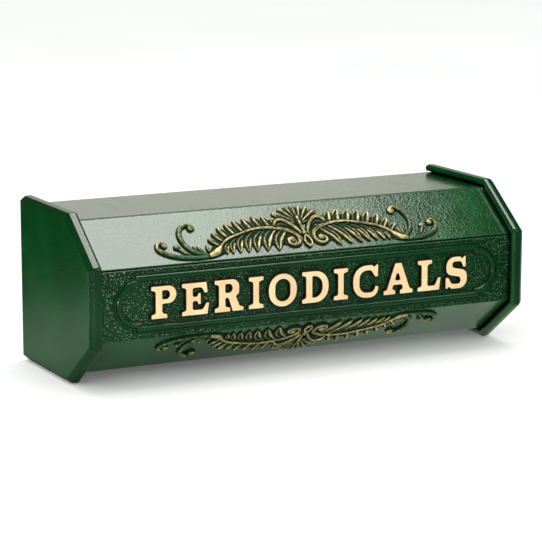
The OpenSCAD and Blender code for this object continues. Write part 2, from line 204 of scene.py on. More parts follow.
class Part:
    """Collects closed shells, in millimetres, into one piece."""

    def __init__(self):
        self.verts, self.faces = [], []

    def add(self, verts, faces):
        k = len(self.verts)
        self.verts += [tuple(v) for v in verts]
        self.faces += [tuple(i + k for i in f) for f in faces]

    def prism(self, outline_dz, x0, x1):
        """Extrudes an outline of [distance from the wall, height] along the length."""
        rows = [[(x, -d, z) for d, z in outline_dz] for x in (x0, x1)]
        near, far = numbered(rows)
        self.add(rows[0] + rows[1], skin([near, far]) + [near[::-1], far])

    def block(self, x, d, z):
        """A block, from pairs of values along the length, from the wall and of height."""
        self.prism([(d[0], z[0]), (d[1], z[0]), (d[1], z[1]), (d[0], z[1])], *x)

    def lathe(self, profile, at, axis, steps=40):
        """Turns a profile of [radius, height] about an axis. A radius of 0 closes an end."""
        up = Vector(axis).normalized()
        side = up.orthogonal().normalized()
        other = up.cross(side)
        verts, rings = [], []
        for r, h in profile:
            count = steps if r > 1e-6 else 1
            rings.append(list(range(len(verts), len(verts) + count)))
            for k in range(count):
                a = 2 * pi * k / steps
                verts.append(Vector(at) + up * h + (side * cos(a) + other * sin(a)) * r)
        self.add(verts, skin(rings))

    def piece(self, name, node, mats, slot="green_paint", body="box", sharp=None):
        """The piece, with its edges over the angle of sharp marked where that is given."""
        mesh = mesh_mm(name, self.verts, self.faces)
        ob = declared(name, node, mesh, mats, body)
        clean_normals(mesh)
        mesh.shade_smooth()
        if sharp:
            sharp_by_angle(ob, sharp)
        return ob


def arc(cx, cy, r, a0, a1, steps):
    turns = [radians(a0 + (a1 - a0) * k / steps) for k in range(steps + 1)]
    return [(cx + r * cos(a), cy + r * sin(a)) for a in turns]


def rounded(corners, steps=None):
    """Rounds each corner (x, y, radius) of a closed outline."""
    out = []
    n = len(corners)
    for i in range(n):
        before, p, after = (np.array(corners[k % n][:2], float) for k in (i - 1, i, i + 1))
        r = corners[i][2]
        u = (before - p) / np.linalg.norm(before - p)
        v = (after - p) / np.linalg.norm(after - p)
        half = acos(max(-1, min(1, float(u @ v)))) / 2
        turn = pi - 2 * half
        if r <= 0 or turn < 1e-3:
            out.append(tuple(p))
            continue
        c = p + (u + v) / np.linalg.norm(u + v) * r / sin(half)
        s, e = p + u * r / tan(half) - c, p + v * r / tan(half) - c
        count = steps or max(2, round(degrees(turn) / 15))
        for k in range(count + 1):
            t = k / count
            q = c + (sin((1 - t) * turn) * s + sin(t * turn) * e) / sin(turn)
            out.append((float(q[0]), float(q[1])))
    return out


def cut(ob, tool):
    """Cuts the shells of a Part out of a piece."""
    mesh = mesh_mm("cutter", tool.verts, tool.faces)
    clean_normals(mesh)
    cutter = linked("cutter", mesh)
    m = ob.modifiers.new("cut", "BOOLEAN")
    m.operation = "DIFFERENCE"
    m.solver = "EXACT"
    m.use_self = True
    m.object = cutter
    deps = bpy.context.evaluated_depsgraph_get()
    old = ob.data
    ob.data = bpy.data.meshes.new_from_object(ob.evaluated_get(deps), preserve_all_data_layers=True,
                                              depsgraph=deps)
    ob.modifiers.clear()
    bpy.data.meshes.remove(old)
    bpy.data.objects.remove(cutter)


def drill(ob, cutters):
    """Cuts round holes, each (centre, axis, [(radius, depth)...]), in millimetres."""
    tool = Part()
    for at, axis, profile in cutters:
        tool.lathe(profile, at, axis, 36)
    cut(ob, tool)


# ---------------------------------------------------------------- materials
class Nodes:
    """A short way to write a material's nodes. A value may be a number, a colour or another node's output."""

    def __init__(self, name, world=False):
        self.mat = (bpy.data.worlds if world else bpy.data.materials).new(name)
        self.mat.use_nodes = True
        self.tree = self.mat.node_tree
        self.shader = self.tree.nodes["Background" if world else "Principled BSDF"]
        self.place = self.node("TexCoord").outputs["Generated" if world else "Object"]

    def link(self, value, socket):
        if hasattr(value, "is_output"):
            self.tree.links.new(value, socket)
        else:
            socket.default_value = value

    def fill(self, node, values):
        for key, v in values.items():
            self.link(v, node.inputs[key.replace("_", " ")])

    def node(self, kind, **values):
        n = self.tree.nodes.new("ShaderNode" + kind)
        self.fill(n, values)
        return n

    def set(self, **values):
        self.fill(self.shader, values)
        return self.mat

    def math(self, op, a, b=0.0):
        n = self.node("Math")
        n.operation = op
        self.link(a, n.inputs[0])
        self.link(b, n.inputs[1])
        return n.outputs[0]

    def times(self, a, b):
        return self.math("MULTIPLY", a, b)

    def plus(self, a, b):
        return self.math("ADD", a, b)

    def far_from(self, a, b):
        return self.math("ABSOLUTE", self.math("SUBTRACT", a, b))

    def noise(self, scale, detail=2.0, rough=0.5, distort=0.0, stretch=None):
        place = self.place
        if stretch:
            place = self.node("Mapping", Vector=place, Scale=stretch).outputs[0]
        return self.node("TexNoise", Vector=place, Scale=scale, Detail=detail, Roughness=rough,
                         Distortion=distort).outputs["Fac"]

    def cells(self, scale, smooth):
        """The distance to the middle of the nearest cell, eased across the borders between cells."""
        n = self.node("TexVoronoi")
        n.feature = "SMOOTH_F1"
        self.fill(n, {"Vector": self.place, "Scale": scale, "Smoothness": smooth})
        return n.outputs["Distance"]

    def span(self, value, a, b, lo=0.0, hi=1.0):
        """Goes from lo to hi, eased, as the value goes from a to b."""
        n = self.node("MapRange", Value=value, From_Min=a, From_Max=b, To_Min=lo, To_Max=hi)
        n.interpolation_type = "SMOOTHSTEP"
        return n.outputs[0]

    def mix(self, fac, a, b):
        n = self.node("Mix")
        n.data_type = "RGBA"
        for i, v in ((0, fac), (6, a), (7, b)):
            self.link(v, n.inputs[i])
        return n.outputs[2]

    def crevice(self, distance, shut, open_):
        """1 in a corner or beside a wall, and 0 in the open."""
        n = self.node("AmbientOcclusion", Distance=distance)
        n.samples = 6
        return self.span(n.outputs["AO"], shut, open_, 1.0, 0.0)

    def axes(self):
        """The place as x, y and z, in metres."""
        return self.node("SeparateXYZ", Vector=self.place).outputs

    def attribute(self, name):
        n = self.node("Attribute")
        n.attribute_name = name
        return n.outputs["Fac"]

    def bump(self, height, distance, strength=1.0, under=None):
        n = self.node("Bump", Height=height, Distance=distance, Strength=strength)
        if under is not None:
            self.link(under, n.inputs["Normal"])
        return n.outputs[0]


GREEN = (0.0028, 0.070, 0.0135, 1)
GREEN_DEEP = (0.0014, 0.046, 0.0080, 1)
GREEN_LIGHT = (0.007, 0.092, 0.024, 1)
# light green for painted highlights on the tops of the pebbled ground's grains
GREEN_GRAIN_GLINT = (0.210, 0.320, 0.225, 1)
# near-black green used for painted shade: corners, pits between grains, hollows and the darker copies of the
# enamel
GREEN_SHADE_BLACK = (0.0006, 0.0085, 0.0024, 1)


def green_paint(name, pebble=0.0, peel=1.0, peel_right=None, painted_shade=0.0, dull=0.0):
    """Gloss enamel over a casting: an orange peel, a sand-cast wave, pooled darker paint in patches, light
    rub marks, and painted shade in corners and at the foot of walls. A pebbled ground stands up in small
    grains, with painted shade between them and painted highlights on their tops. peel_right is the peel at
    the box's right end. painted_shade darkens the whole paint towards near-black, as painted shade for faces
    that should look shaded, and dull takes the gloss off."""
    n = Nodes(name)
    cloud = n.noise(16, 3, 0.55)
    fine = n.noise(160, 3, 0.6)
    colour = n.mix(n.span(cloud, 0.35, 0.7), GREEN_DEEP, GREEN)
    colour = n.mix(n.times(n.span(fine, 0.58, 0.8), 0.35), colour, GREEN_LIGHT)
    # painted shade: the whole paint darkened towards near-black, for faces that should look shaded
    if painted_shade:
        colour = n.mix(painted_shade, colour, GREEN_SHADE_BLACK)
    wave = n.bump(n.noise(22, 2, 0.5), 0.0016, 0.35)
    skin_height = n.noise(430, 2.5, 0.55, 0.4)
    if peel_right is not None:
        rise = n.span(n.axes()[0], -0.06, 0.09, 1.0, peel_right / peel)
        fall = n.span(n.axes()[0], 0.11, 0.17, 1.0, 0.35)
        skin_height = n.times(skin_height, n.times(rise, fall))
    surface = n.bump(skin_height, 0.00022 * peel, 1.0, wave)
    scuff = n.span(n.noise(60, 4, 0.65, 0.6, (1, 0.25, 1)), 0.52, 0.75)
    rough = n.plus(n.times(scuff, 0.07), n.span(cloud, 0.3, 0.7, 0.09 + dull, 0.14 + dull))
    if pebble:
        grains = n.span(n.cells(540, 0.10), 0.12, 0.54, 1.0, 0.0)
        uneven = n.span(n.noise(420, 2, 0.7), 0.38, 0.60)
        patch = n.span(n.noise(34, 3, 0.6), 0.30, 0.60, 0.45, 1.0)
        ground = n.times(n.times(grains, n.plus(uneven, 0.3)), patch)
        surface = n.bump(ground, 0.0009 * pebble, 1.0, surface)
        # painted shade: the paint darkens to near-black between the grains
        colour = n.mix(n.span(grains, 0.05, 0.5, 0.62, 0.0), colour, GREEN_SHADE_BLACK)
        # painted highlight: light grain tops stand in for glints off the pebbling, stronger towards the left
        # end
        grain_glint = n.times(n.span(n.axes()[0], -0.16, 0.10, 0.95, 0.28), n.span(ground, 0.34, 0.72))
        colour = n.mix(grain_glint, colour, GREEN_GRAIN_GLINT)
    # painted shade: the paint darkens to near-black in corners and at the foot of walls, and roughens a
    # little there
    shade_and_grime = n.crevice(0.0045, 0.50, 0.97)
    return n.set(Base_Color=n.mix(shade_and_grime, colour, GREEN_SHADE_BLACK), Roughness=n.plus(rough, n.times(shade_and_grime, 0.08)),
                 Normal=surface, IOR=1.52, Specular_Tint=(0.97, 1.0, 0.95, 1),
                 Coat_Weight=0.0 if dull else 0.25, Coat_Roughness=0.07)


def cream_paint():
    """Thick cream enamel with an orange mottle, a few dark pits and a skin like orange peel."""
    n = Nodes("cream_enamel")
    cloud = n.noise(55, 4, 0.6)
    speck = n.noise(420, 3, 0.65)
    colour = n.mix(n.span(cloud, 0.3, 0.7), (0.93, 0.72, 0.38, 1), (0.86, 0.57, 0.31, 1))
    colour = n.mix(n.times(n.span(speck, 0.55, 0.8), 0.6), colour, (0.95, 0.80, 0.50, 1))
    colour = n.mix(n.times(n.span(n.noise(700, 2, 0.5), 0.66, 0.75), 0.7), colour, (0.42, 0.30, 0.12, 1))
    colour = n.mix(n.times(n.span(n.noise(95, 3, 0.6), 0.5, 0.70), 0.65), colour, (0.90, 0.54, 0.26, 1))
    return n.set(Base_Color=colour, Roughness=n.span(speck, 0.2, 0.8, 0.30, 0.48),
                 Normal=n.bump(n.noise(380, 3, 0.6), 0.0005), Coat_Weight=0.1)


def gilt_paint():
    """Green enamel with gold rubbed over the high parts. The gilt attribute is 1 where the cloth met the
    metal, and the hollow attribute is 1 down between two leaves, where the paint is dull and darkened as
    painted shade."""
    n = Nodes("gilded_relief")
    patchy = n.times(n.math("SUBTRACT", n.noise(420, 3, 0.7), 0.5), 0.8)
    rub = n.span(n.plus(n.attribute("gilt"), patchy), 0.34, 0.70)
    gold = n.mix(n.span(n.noise(240, 3, 0.6), 0.35, 0.7), (0.30, 0.215, 0.075, 1), (0.78, 0.65, 0.33, 1))
    green = n.mix(n.span(n.noise(90), 0.3, 0.7), GREEN_DEEP, GREEN)
    hollow = n.span(n.attribute("hollow"), 0.15, 0.7)
    # painted shade: down in the hollows the green darkens to near-black
    colour = n.mix(rub, n.mix(hollow, green, GREEN_SHADE_BLACK), gold)
    rough = n.plus(n.times(rub, 0.14), n.times(hollow, 0.5))
    return n.set(Base_Color=colour, Roughness=n.plus(rough, 0.36), Metallic=n.times(rub, 0.55),
                 Normal=n.bump(n.noise(520, 3, 0.6), 0.00035), Specular_IOR_Level=0.24)


def dull_shade_paint(name, dark, light):
    """Dull, near-black paint, mottled a little, that is painted shade: in the relief's hollows and down the
    sides of the letters.
    """
    n = Nodes(name)
    shade_and_grime = n.noise(260, 3, 0.6)
    return n.set(Base_Color=n.mix(n.span(shade_and_grime, 0.3, 0.7), dark, light),
                 Roughness=n.span(shade_and_grime, 0.2, 0.8, 0.55, 0.78), Normal=n.bump(n.noise(520, 3, 0.6), 0.0003),
                 Specular_IOR_Level=0.12)


def steel():
    """Bright zinc-plated steel with fine turning marks and a few dull spots."""
    n = Nodes("plated_steel")
    dull = n.span(n.noise(130, 4, 0.6), 0.45, 0.7)
    lines = n.noise(1500, 2, 0.5, 0, (6, 1, 1))
    return n.set(Base_Color=n.mix(dull, (0.66, 0.65, 0.62, 1), (0.47, 0.46, 0.42, 1)),
                 Roughness=n.plus(n.times(dull, 0.18), 0.24), Normal=n.bump(lines, 0.00008), Metallic=1.0)


def nylon():
    n = Nodes("nylon_washer")
    cloud = n.noise(200, 3, 0.6)
    return n.set(Base_Color=n.mix(n.span(cloud, 0.3, 0.7), (0.78, 0.76, 0.68, 1), (0.62, 0.60, 0.52, 1)),
                 Roughness=n.span(cloud, 0.3, 0.7, 0.38, 0.55), Normal=n.bump(n.noise(900, 2), 0.00008),
                 Subsurface_Weight=0.08)


def rubber():
    n = Nodes("bumper_rubber")
    dust = n.span(n.noise(340, 4, 0.65), 0.5, 0.75)
    return n.set(Base_Color=n.mix(dust, (0.016, 0.016, 0.017, 1), (0.055, 0.052, 0.046, 1)),
                 Roughness=n.plus(n.times(dust, 0.15), 0.62), Normal=n.bump(n.noise(1400, 3, 0.6), 0.00012))


smooth_green = green_paint("green_enamel")
ground_green = green_paint("green_enamel_ground", pebble=1.0)
slope_green = green_paint("green_enamel_slope", peel=1.3, peel_right=2.9)
cream = cream_paint()
gilt = gilt_paint()
hollow_shade = dull_shade_paint("relief_hollows_shade", GREEN_SHADE_BLACK, (0.0016, 0.021, 0.0052, 1))
letter_side_shade = dull_shade_paint("letter_side_shade", (0.0030, 0.0065, 0.0025, 1), (0.026, 0.019, 0.007, 1))
# darker copies of the same enamel, as painted shade: the border moulding, the end plates' rims and the webs'
# inner faces
border_green_shaded = green_paint("green_enamel_border_shaded", painted_shade=0.42)
rim_green_shaded = green_paint("green_enamel_rim_shaded", painted_shade=0.40, dull=0.10)
inner_green_shaded = green_paint("green_enamel_inner_shaded", painted_shade=0.35, dull=0.40)
plated = steel()
nylon_mat = nylon()
rubber_mat = rubber()


# ---------------------------------------------------------------- shapes that two or more sub-parts share
BOSS_R = 6.0
BOSS_IN = 9.0                            # from the inside of a wall to a boss's middle
TOP_LUGS = [(20.0, TOP_IN - BOSS_IN), (72.0, TOP_IN - BOSS_IN)]
SHELL_LUGS = [(20.0, BOSS_IN - TOP_IN), (96.0, BOSS_IN - TOP_IN), (FRONT - WALL - 8, corner_z(SKIN_IN) - 13)]
LUG_T, LUG_R, LUG_HOLE_R = 4.0, 7.0, 2.2
X_LUG = X_RIM - LUG_T
PIN_R, BORE_R, BORE_DEPTH = 2.5, 2.55, 17.0
HEEL_R, HEEL_T = 13.0, 10.0              # the hinge's stops, which stand out from the roll at its ends
BACK_T, BACK_GAP, FLANGE_T, FLANGE_H = 4.0, 0.3, 4.0, 12.0
BACK_XS = (-150.0, 0.0, 150.0)
BACK_Z = TOP_IN - FLANGE_H / 2
LEDGE_IN = SKIN_IN + 1.5                 # the ledge under the flap's front edge
BUMPER_XS = (-150.0, 0.0, 150.0)
SIDES = ((1, "right"), (-1, "left"))


def flap_section():
    """The roll about the hinge axis, from the plate's underside round to its top, and the plate's tip."""
    lean = 90 - degrees(PITCH)
    meet = lean - degrees(acos((ROLL_R - WALL) / ROLL_R))
    return arc(AXIS_D, AXIS_Z, ROLL_R, meet, lean - 360, 48), [outline(SKIN_OUT)[2], outline(SKIN_IN)[2]]


def heel_section(inner, a0, a1):
    return arc(AXIS_D, AXIS_Z, HEEL_R, a0, a1, 4) + arc(AXIS_D, AXIS_Z, inner, a1, a0, 4)


def around(c, r):
    return c - r, c + r


# ---------------------------------------------------------------- end plates
FRONT_R, BACK_R = 5.0, 3.0               # the outline's corners at the front and at the wall
CHAMFER = 4.0
DOME = 0.5                               # how far the rim falls away towards the chamfer
FILLET_R = 1.2


def ring(inset, x):
    """The plate's outline at an inset as an open row of points, with its corners rounded."""
    top = HALF_H - inset
    back = max(BACK_R - inset, 0.35)
    front = max(FRONT_R - inset, 0.35)
    corners = [(d, z, front) for d, z in outline(inset)[1:5]]
    row = rounded([(0, -top, 0), (0, top, 0)] + corners, 9)[2:]
    start = arc(back, top - back, back, 90, 180, 4)[::-1]
    return [(x, -d, z) for d, z in start + row + [(d, -z) for d, z in start[::-1]]]


def plate_section():
    """The end plate's section as (x, inset): outer face, chamfer, rim, its rounded crown, and the web."""
    crown_r = LIP / 2
    crown_x = X_RIM + crown_r
    inner_x = 20.0
    section = rounded([(X_OUT, inner_x, 0), (X_OUT, CHAMFER + DOME, 1.2), (X_OUT - CHAMFER, DOME, 1.0),
                       (crown_x, 0.0, 0)], 4)[:-1]
    flat_x, low = section[-1]
    section += [(flat_x - (flat_x - crown_x) * k / 4, low * (1 - sin(pi / 2 * k / 4))) for k in (1, 2, 3)]
    section += arc(crown_x, crown_r, crown_r, -90, -270, 15)
    section += arc(X_WEB - FILLET_R, LIP + FILLET_R, FILLET_R, -90, 0, 3)
    return section + [(X_WEB, inner_x)]


def end_plate(side, word):
    part = Part()
    rows = [ring(inset, x) for x, inset in plate_section()]
    rings = numbered(rows)
    ends = [rings[0], rings[-1][::-1], [r[0] for r in rings] + [r[-1] for r in reversed(rings)]]
    part.add([p for row in rows for p in row], skin(rings, turned=False) + ends)
    # jamb: the fixed end of the sloping face, with the same rolled edge as the flap
    roll, tip = flap_section()
    part.prism(tip + roll, X_RIM + 0.2, X_WEB + 1)
    reach = X_WEB - X_RIM
    boss = [(0, 0), (BOSS_R - 0.5, 0), (BOSS_R, 0.5), (BOSS_R, reach - 1.2), (BOSS_R + 0.35, reach - 0.35),
            (BOSS_R + 1.2, reach + 0.01), (0, reach + 0.5)]
    for d, z in TOP_LUGS + SHELL_LUGS:
        part.lathe(boss, (X_RIM, -d, z), (1, 0, 0))
    part.prism(heel_section(ROLL_R + 1, 304, 322), X_FLAP - HEEL_T, X_WEB + 1)
    if side < 0:
        part.verts = [(-x, y, z) for x, y, z in part.verts]
    node = "end_plate_" + word
    ob = part.piece(node + "_cast", node, [smooth_green, rim_green_shaded, inner_green_shaded, slope_green])
    # the webs' inner faces take the darkest painted shade, the rims' chamfer and crown a darker copy as
    # painted shade, and the jamb's slope the slope paint
    for f in ob.data.polygons:
        out = f.normal.x * side
        at = f.center.x * side / MM
        if out < -0.99 and abs(at - X_WEB) < 0.1:
            f.material_index = 2
        elif at > X_RIM and f.normal.y < 0.5 and -0.5 < out < 0.95:
            f.material_index = 1
        elif at < X_WEB and f.normal.y < -0.5 and f.normal.z > 0.5:
            f.material_index = 3
    bevelled(ob, 0.6, 50)


for side, word in SIDES:
    end_plate(side, word)


# ---------------------------------------------------------------- top panel, front shell and back plate
def drilled_lugs(node, lugs):
    """Lugs at both ends of a casting, each ((distance, height), the way to its wall, the wall's distance)."""
    part = Part()
    for (d, z), (wx, wz), reach in lugs:
        base = degrees(atan2(wz, wx))
        sx, sz = -wz * LUG_R, wx * LUG_R
        far_d, far_z = d + wx * reach, z + wz * reach
        root = [(far_d - sx, far_z - sz), (far_d + sx, far_z + sz)]
        pts = arc(d, z, LUG_R, base + 90, base + 270, 20) + root
        part.prism(pts, -X_RIM, -X_LUG)
        part.prism(pts, X_LUG, X_RIM)
    ob = part.piece(node + "_lugs", node, [smooth_green])
    hole = [(0, 0), (LUG_HOLE_R, 0), (LUG_HOLE_R, LUG_T + 2), (0, LUG_T + 2)]
    drill(ob, [((s * (X_LUG - 1), -d, z), (s, 0, 0), hole) for (d, z), _, _ in lugs for s in (-1, 1)])
    bevelled(ob, 0.5)


def top_panel():
    part = Part()
    clear = 3.5                          # from the hinge axis back to the panel's front edge
    edge = AXIS_D - clear
    gap_r = ROLL_R + 0.3
    # the front edge is hollowed to clear the flap's roll
    top_a, low_a = (180 - degrees(asin((z - AXIS_Z) / gap_r)) for z in (TOP, TOP_IN))
    hollow = [p for p in arc(AXIS_D, AXIS_Z, gap_r, top_a, low_a, 8) if p[0] < edge]
    pts = [(0, TOP), (edge, TOP), (edge, AXIS_Z + sqrt(gap_r ** 2 - clear ** 2))] + hollow
    pts += [(hollow[-1][0], TOP_IN), (BACK_T + FLANGE_T, TOP_IN), (BACK_T + FLANGE_T, TOP_IN - FLANGE_H),
            (BACK_T, TOP_IN - FLANGE_H), (BACK_T, TOP_IN), (0, TOP_IN)]
    part.prism([p for i, p in enumerate(pts) if np.hypot(*np.subtract(p, pts[i - 1])) > 0.05], -X_WEB, X_WEB)
    bevelled(part.piece("top_panel_cast", "top_panel", [smooth_green]), 0.45)
    drilled_lugs("top_panel", [(p, (0, 1), TOP_IN - p[1] + 2) for p in TOP_LUGS])


def front_shell():
    part = Part()
    cz = corner_z(SKIN_OUT)
    czi = corner_z(SKIN_IN)
    ledge_out = LEDGE_IN + 3
    d_led = FRONT - WALL - 10
    d_in = FRONT - WALL
    pts = [(FRONT, cz - SEAM, 0.9), (FRONT, -cz, 1.0), (corner_d(SKIN_OUT), -TOP, 1.2), (0, -TOP, 0),
           (0, -TOP_IN, 0), (BACK_T, -TOP_IN, 0), (BACK_T, FLANGE_H - TOP_IN, 0.4),
           (BACK_T + FLANGE_T, FLANGE_H - TOP_IN, 0.6), (BACK_T + FLANGE_T, -TOP_IN, 1.5),
           (corner_d(SKIN_IN), -TOP_IN, 1.5), (d_in, -czi, 1.5), (d_in, slope_z(d_in, ledge_out), 1.0),
           (d_led, slope_z(d_led, ledge_out), 0.5), (d_led, slope_z(d_led, LEDGE_IN), 0.5),
           (d_in, slope_z(d_in, LEDGE_IN), 0.3), (d_in, czi - SEAM, 0.3)]
    part.prism(rounded(pts), -X_WEB, X_WEB)
    ob = part.piece("front_shell_cast", "front_shell", [smooth_green, ground_green, slope_green])
    drain = [(0, 0), (4.2, 0), (4.2, 0.8), (3.0, 2.0), (3.0, 6.5), (0, 6.5)]
    drill(ob, [((x, -60.0, -TOP - 1), (0, 0, 1), drain) for x in (-140.0, -50.0, 50.0, 140.0)])
    for f in ob.data.polygons:
        if f.normal.y < -0.97 and abs(-f.center.y / MM - FRONT) < 0.2:
            f.material_index = 1
        elif f.normal.z < -0.3 and f.normal.y < -0.3:
            f.material_index = 2
    sharp_by_angle(ob)
    even(ob)
    low, high = SHELL_LUGS[:2], SHELL_LUGS[2]
    lugs = [(p, (0, -1), p[1] + TOP_IN + 2) for p in low] + [(high, (1, 0), d_in - high[0] + 2)]
    drilled_lugs("front_shell", lugs)


def back_plate():
    part = Part()
    z1 = TOP_IN - BACK_GAP
    part.prism([(0, -z1), (0, z1), (BACK_T, z1), (BACK_T, -z1)], *around(0, X_WEB - BACK_GAP))
    ob = part.piece("back_plate_cast", "back_plate", [smooth_green])
    sunk = [(0, 0), (4.5, 0), (4.5, 0.5), (2.2, 2.8), (2.2, 6), (0, 6)]
    plain = [(0, 0), (3.7, 0), (3.7, 0.5), (3.25, 1.0), (3.25, 6), (0, 6)]
    wall = [(sx * 160.0, z) for sx in (-1, 1) for z in (0.0, 40.0)]
    holes = [(x, sz * BACK_Z, sunk) for x in BACK_XS for sz in (-1, 1)] + [(x, z, plain) for x, z in wall]
    drill(ob, [((x, 0.5, z), (0, -1, 0), profile) for x, z, profile in holes])
    sharp_by_angle(ob)
    bevelled(ob, 0.4, 60)
    pads = Part()
    pad = [(3.25, -0.5), (9.8, -0.5), (9.8, 0), (9.2, 0.25), (9.0, 1.5), (8.6, 2), (3.6, 2), (3.25, 1.7),
           (3.25, -0.5)]
    for x, z in wall:
        pads.lathe([(r, BACK_T + h) for r, h in pad], (x, 0, z), (0, -1, 0))
    pads.piece("wall_hole_pads", "back_plate", [smooth_green], sharp=40)


top_panel()
front_shell()
back_plate()


# ---------------------------------------------------------------- flap
def flap():
    roll, tip = flap_section()
    corners = rounded([(*roll[-1], 0), (*tip[0], 0.8), (*tip[1], 0.5), (*roll[0], 0)])
    part = Part()
    part.prism(corners[1:-1] + roll, -X_FLAP, X_FLAP)
    ob = part.piece("flap_cast", "flap", [slope_green, smooth_green], body="flap")
    for f in ob.data.polygons:
        if f.normal.z < 0 or abs(f.normal.x) > 0.9:
            f.material_index = 1
    bore = [(0, 0), (BORE_R, 0), (BORE_R, BORE_DEPTH + 3), (0, BORE_DEPTH + 3)]
    drill(ob, [((s * (X_FLAP - BORE_DEPTH), -AXIS_D, AXIS_Z), (s, 0, 0), bore) for s in (-1, 1)])
    sharp_by_angle(ob)
    even(ob)


def flap_ribs():
    under = Part()
    rib = 3.0
    d0 = FRONT - WALL - 18
    back = AXIS_D + ROLL_R

    def rib_outline(d, w):
        return [(d, slope_z(d, SKIN_IN - 1)), (d + w, slope_z(d + w, SKIN_IN - 1)),
                (d + w, slope_z(d + w, SKIN_IN + rib)), (d, slope_z(d, SKIN_IN + rib))]

    under.prism(rib_outline(d0, rib), *around(0, X_FLAP - 20))
    for x in (-120.0, 0.0, 120.0):
        under.prism(rib_outline(back, d0 - back + 0.5), *around(x, rib / 2))
    for side in (-1, 1):
        under.prism(heel_section(ROLL_R - 1, 182, 202), *sorted((side * (X_FLAP - HEEL_T), side * X_FLAP)))
    bevelled(under.piece("flap_ribs", "flap", [smooth_green], body="flap"), 0.6)


flap()
flap_ribs()

# ---------------------------------------------------------------- face frames: distance, height and lean
MID_D = (corner_d(SKIN_OUT) + FRONT) / 2
MID_Z = (TOP + corner_z(SKIN_OUT)) / 2
ON_FRONT = (FRONT, 0.0, pi / 2)
ON_SLOPE = (MID_D, MID_Z, PITCH)
ON_LOWER = (MID_D, -MID_Z, pi - PITCH)


def face_matrix(face):
    d, z, lean = face
    return Matrix.Translation((0, -d, z)) @ Matrix.Rotation(lean, 4, "X")


def on_face(face, pts):
    m = face_matrix(face)
    return [tuple(m @ Vector(p)) for p in pts]


# ---------------------------------------------------------------- border round the lettering
def panel_outline(i):
    """The border's line moved in by i: straight sides, which step in to a narrower round end."""
    px, py, end_r = 167.5, 22.0, 18.5
    r = end_r - i
    a = degrees(acos(-i / r))
    end = [(px - i, py - i)] + arc(px, 0, r, a, -a, 40) + [(px - i, i - py)]
    return end + [(-x, -y) for x, y in end]


def front_moulding():
    bead_r, rise, step, step_rise = 2.5, 2.4, 2.0, 1.2
    foot = -bead_r - step
    profile = [(foot - 0.25, -0.3), (foot, step_rise - 0.45), (foot + 0.18, step_rise - 0.12),
               (foot + 0.5, step_rise), (-bead_r - 0.4, step_rise - 0.05)]
    for k in range(13):
        a = pi * (1 - k / 12)
        profile.append((bead_r * cos(a), 0.35 + (rise - 0.35) * sin(a) ** 0.8))
    profile.append((bead_r + 0.2, -0.3))
    rows = [[(x, y, h) for x, y in panel_outline(i)] for i, h in profile]
    rings = numbered(rows)
    part = Part()
    part.add(on_face(ON_FRONT, [p for row in rows for p in row]), skin(rings + rings[:1]))
    part.piece("front_border", "front_moulding", [border_green_shaded], sharp=38)


front_moulding()

# ---------------------------------------------------------------- lettering, in hundredths of its height
CAP, LETTER_GAP, LETTER_RISE = 29.0, 15.0, 3.0
LETTER_SINK = 0.15                       # how far a letter stands in the ground
LETTER_EDGE = 0.85                       # the rounded edge's radius
SOFTEST = 3.2                            # the smallest corner that the rounded edge can follow
FOOT = [(14, 18, 6), (0, 14, 3), (0, 0, 2), (54, 0, 2), (54, 14, 3), (38, 18, 6)]
TOE = FOOT[:3]
HEAD = [(0, 100, 2), (0, 86, 3), (14, 82, 6)]
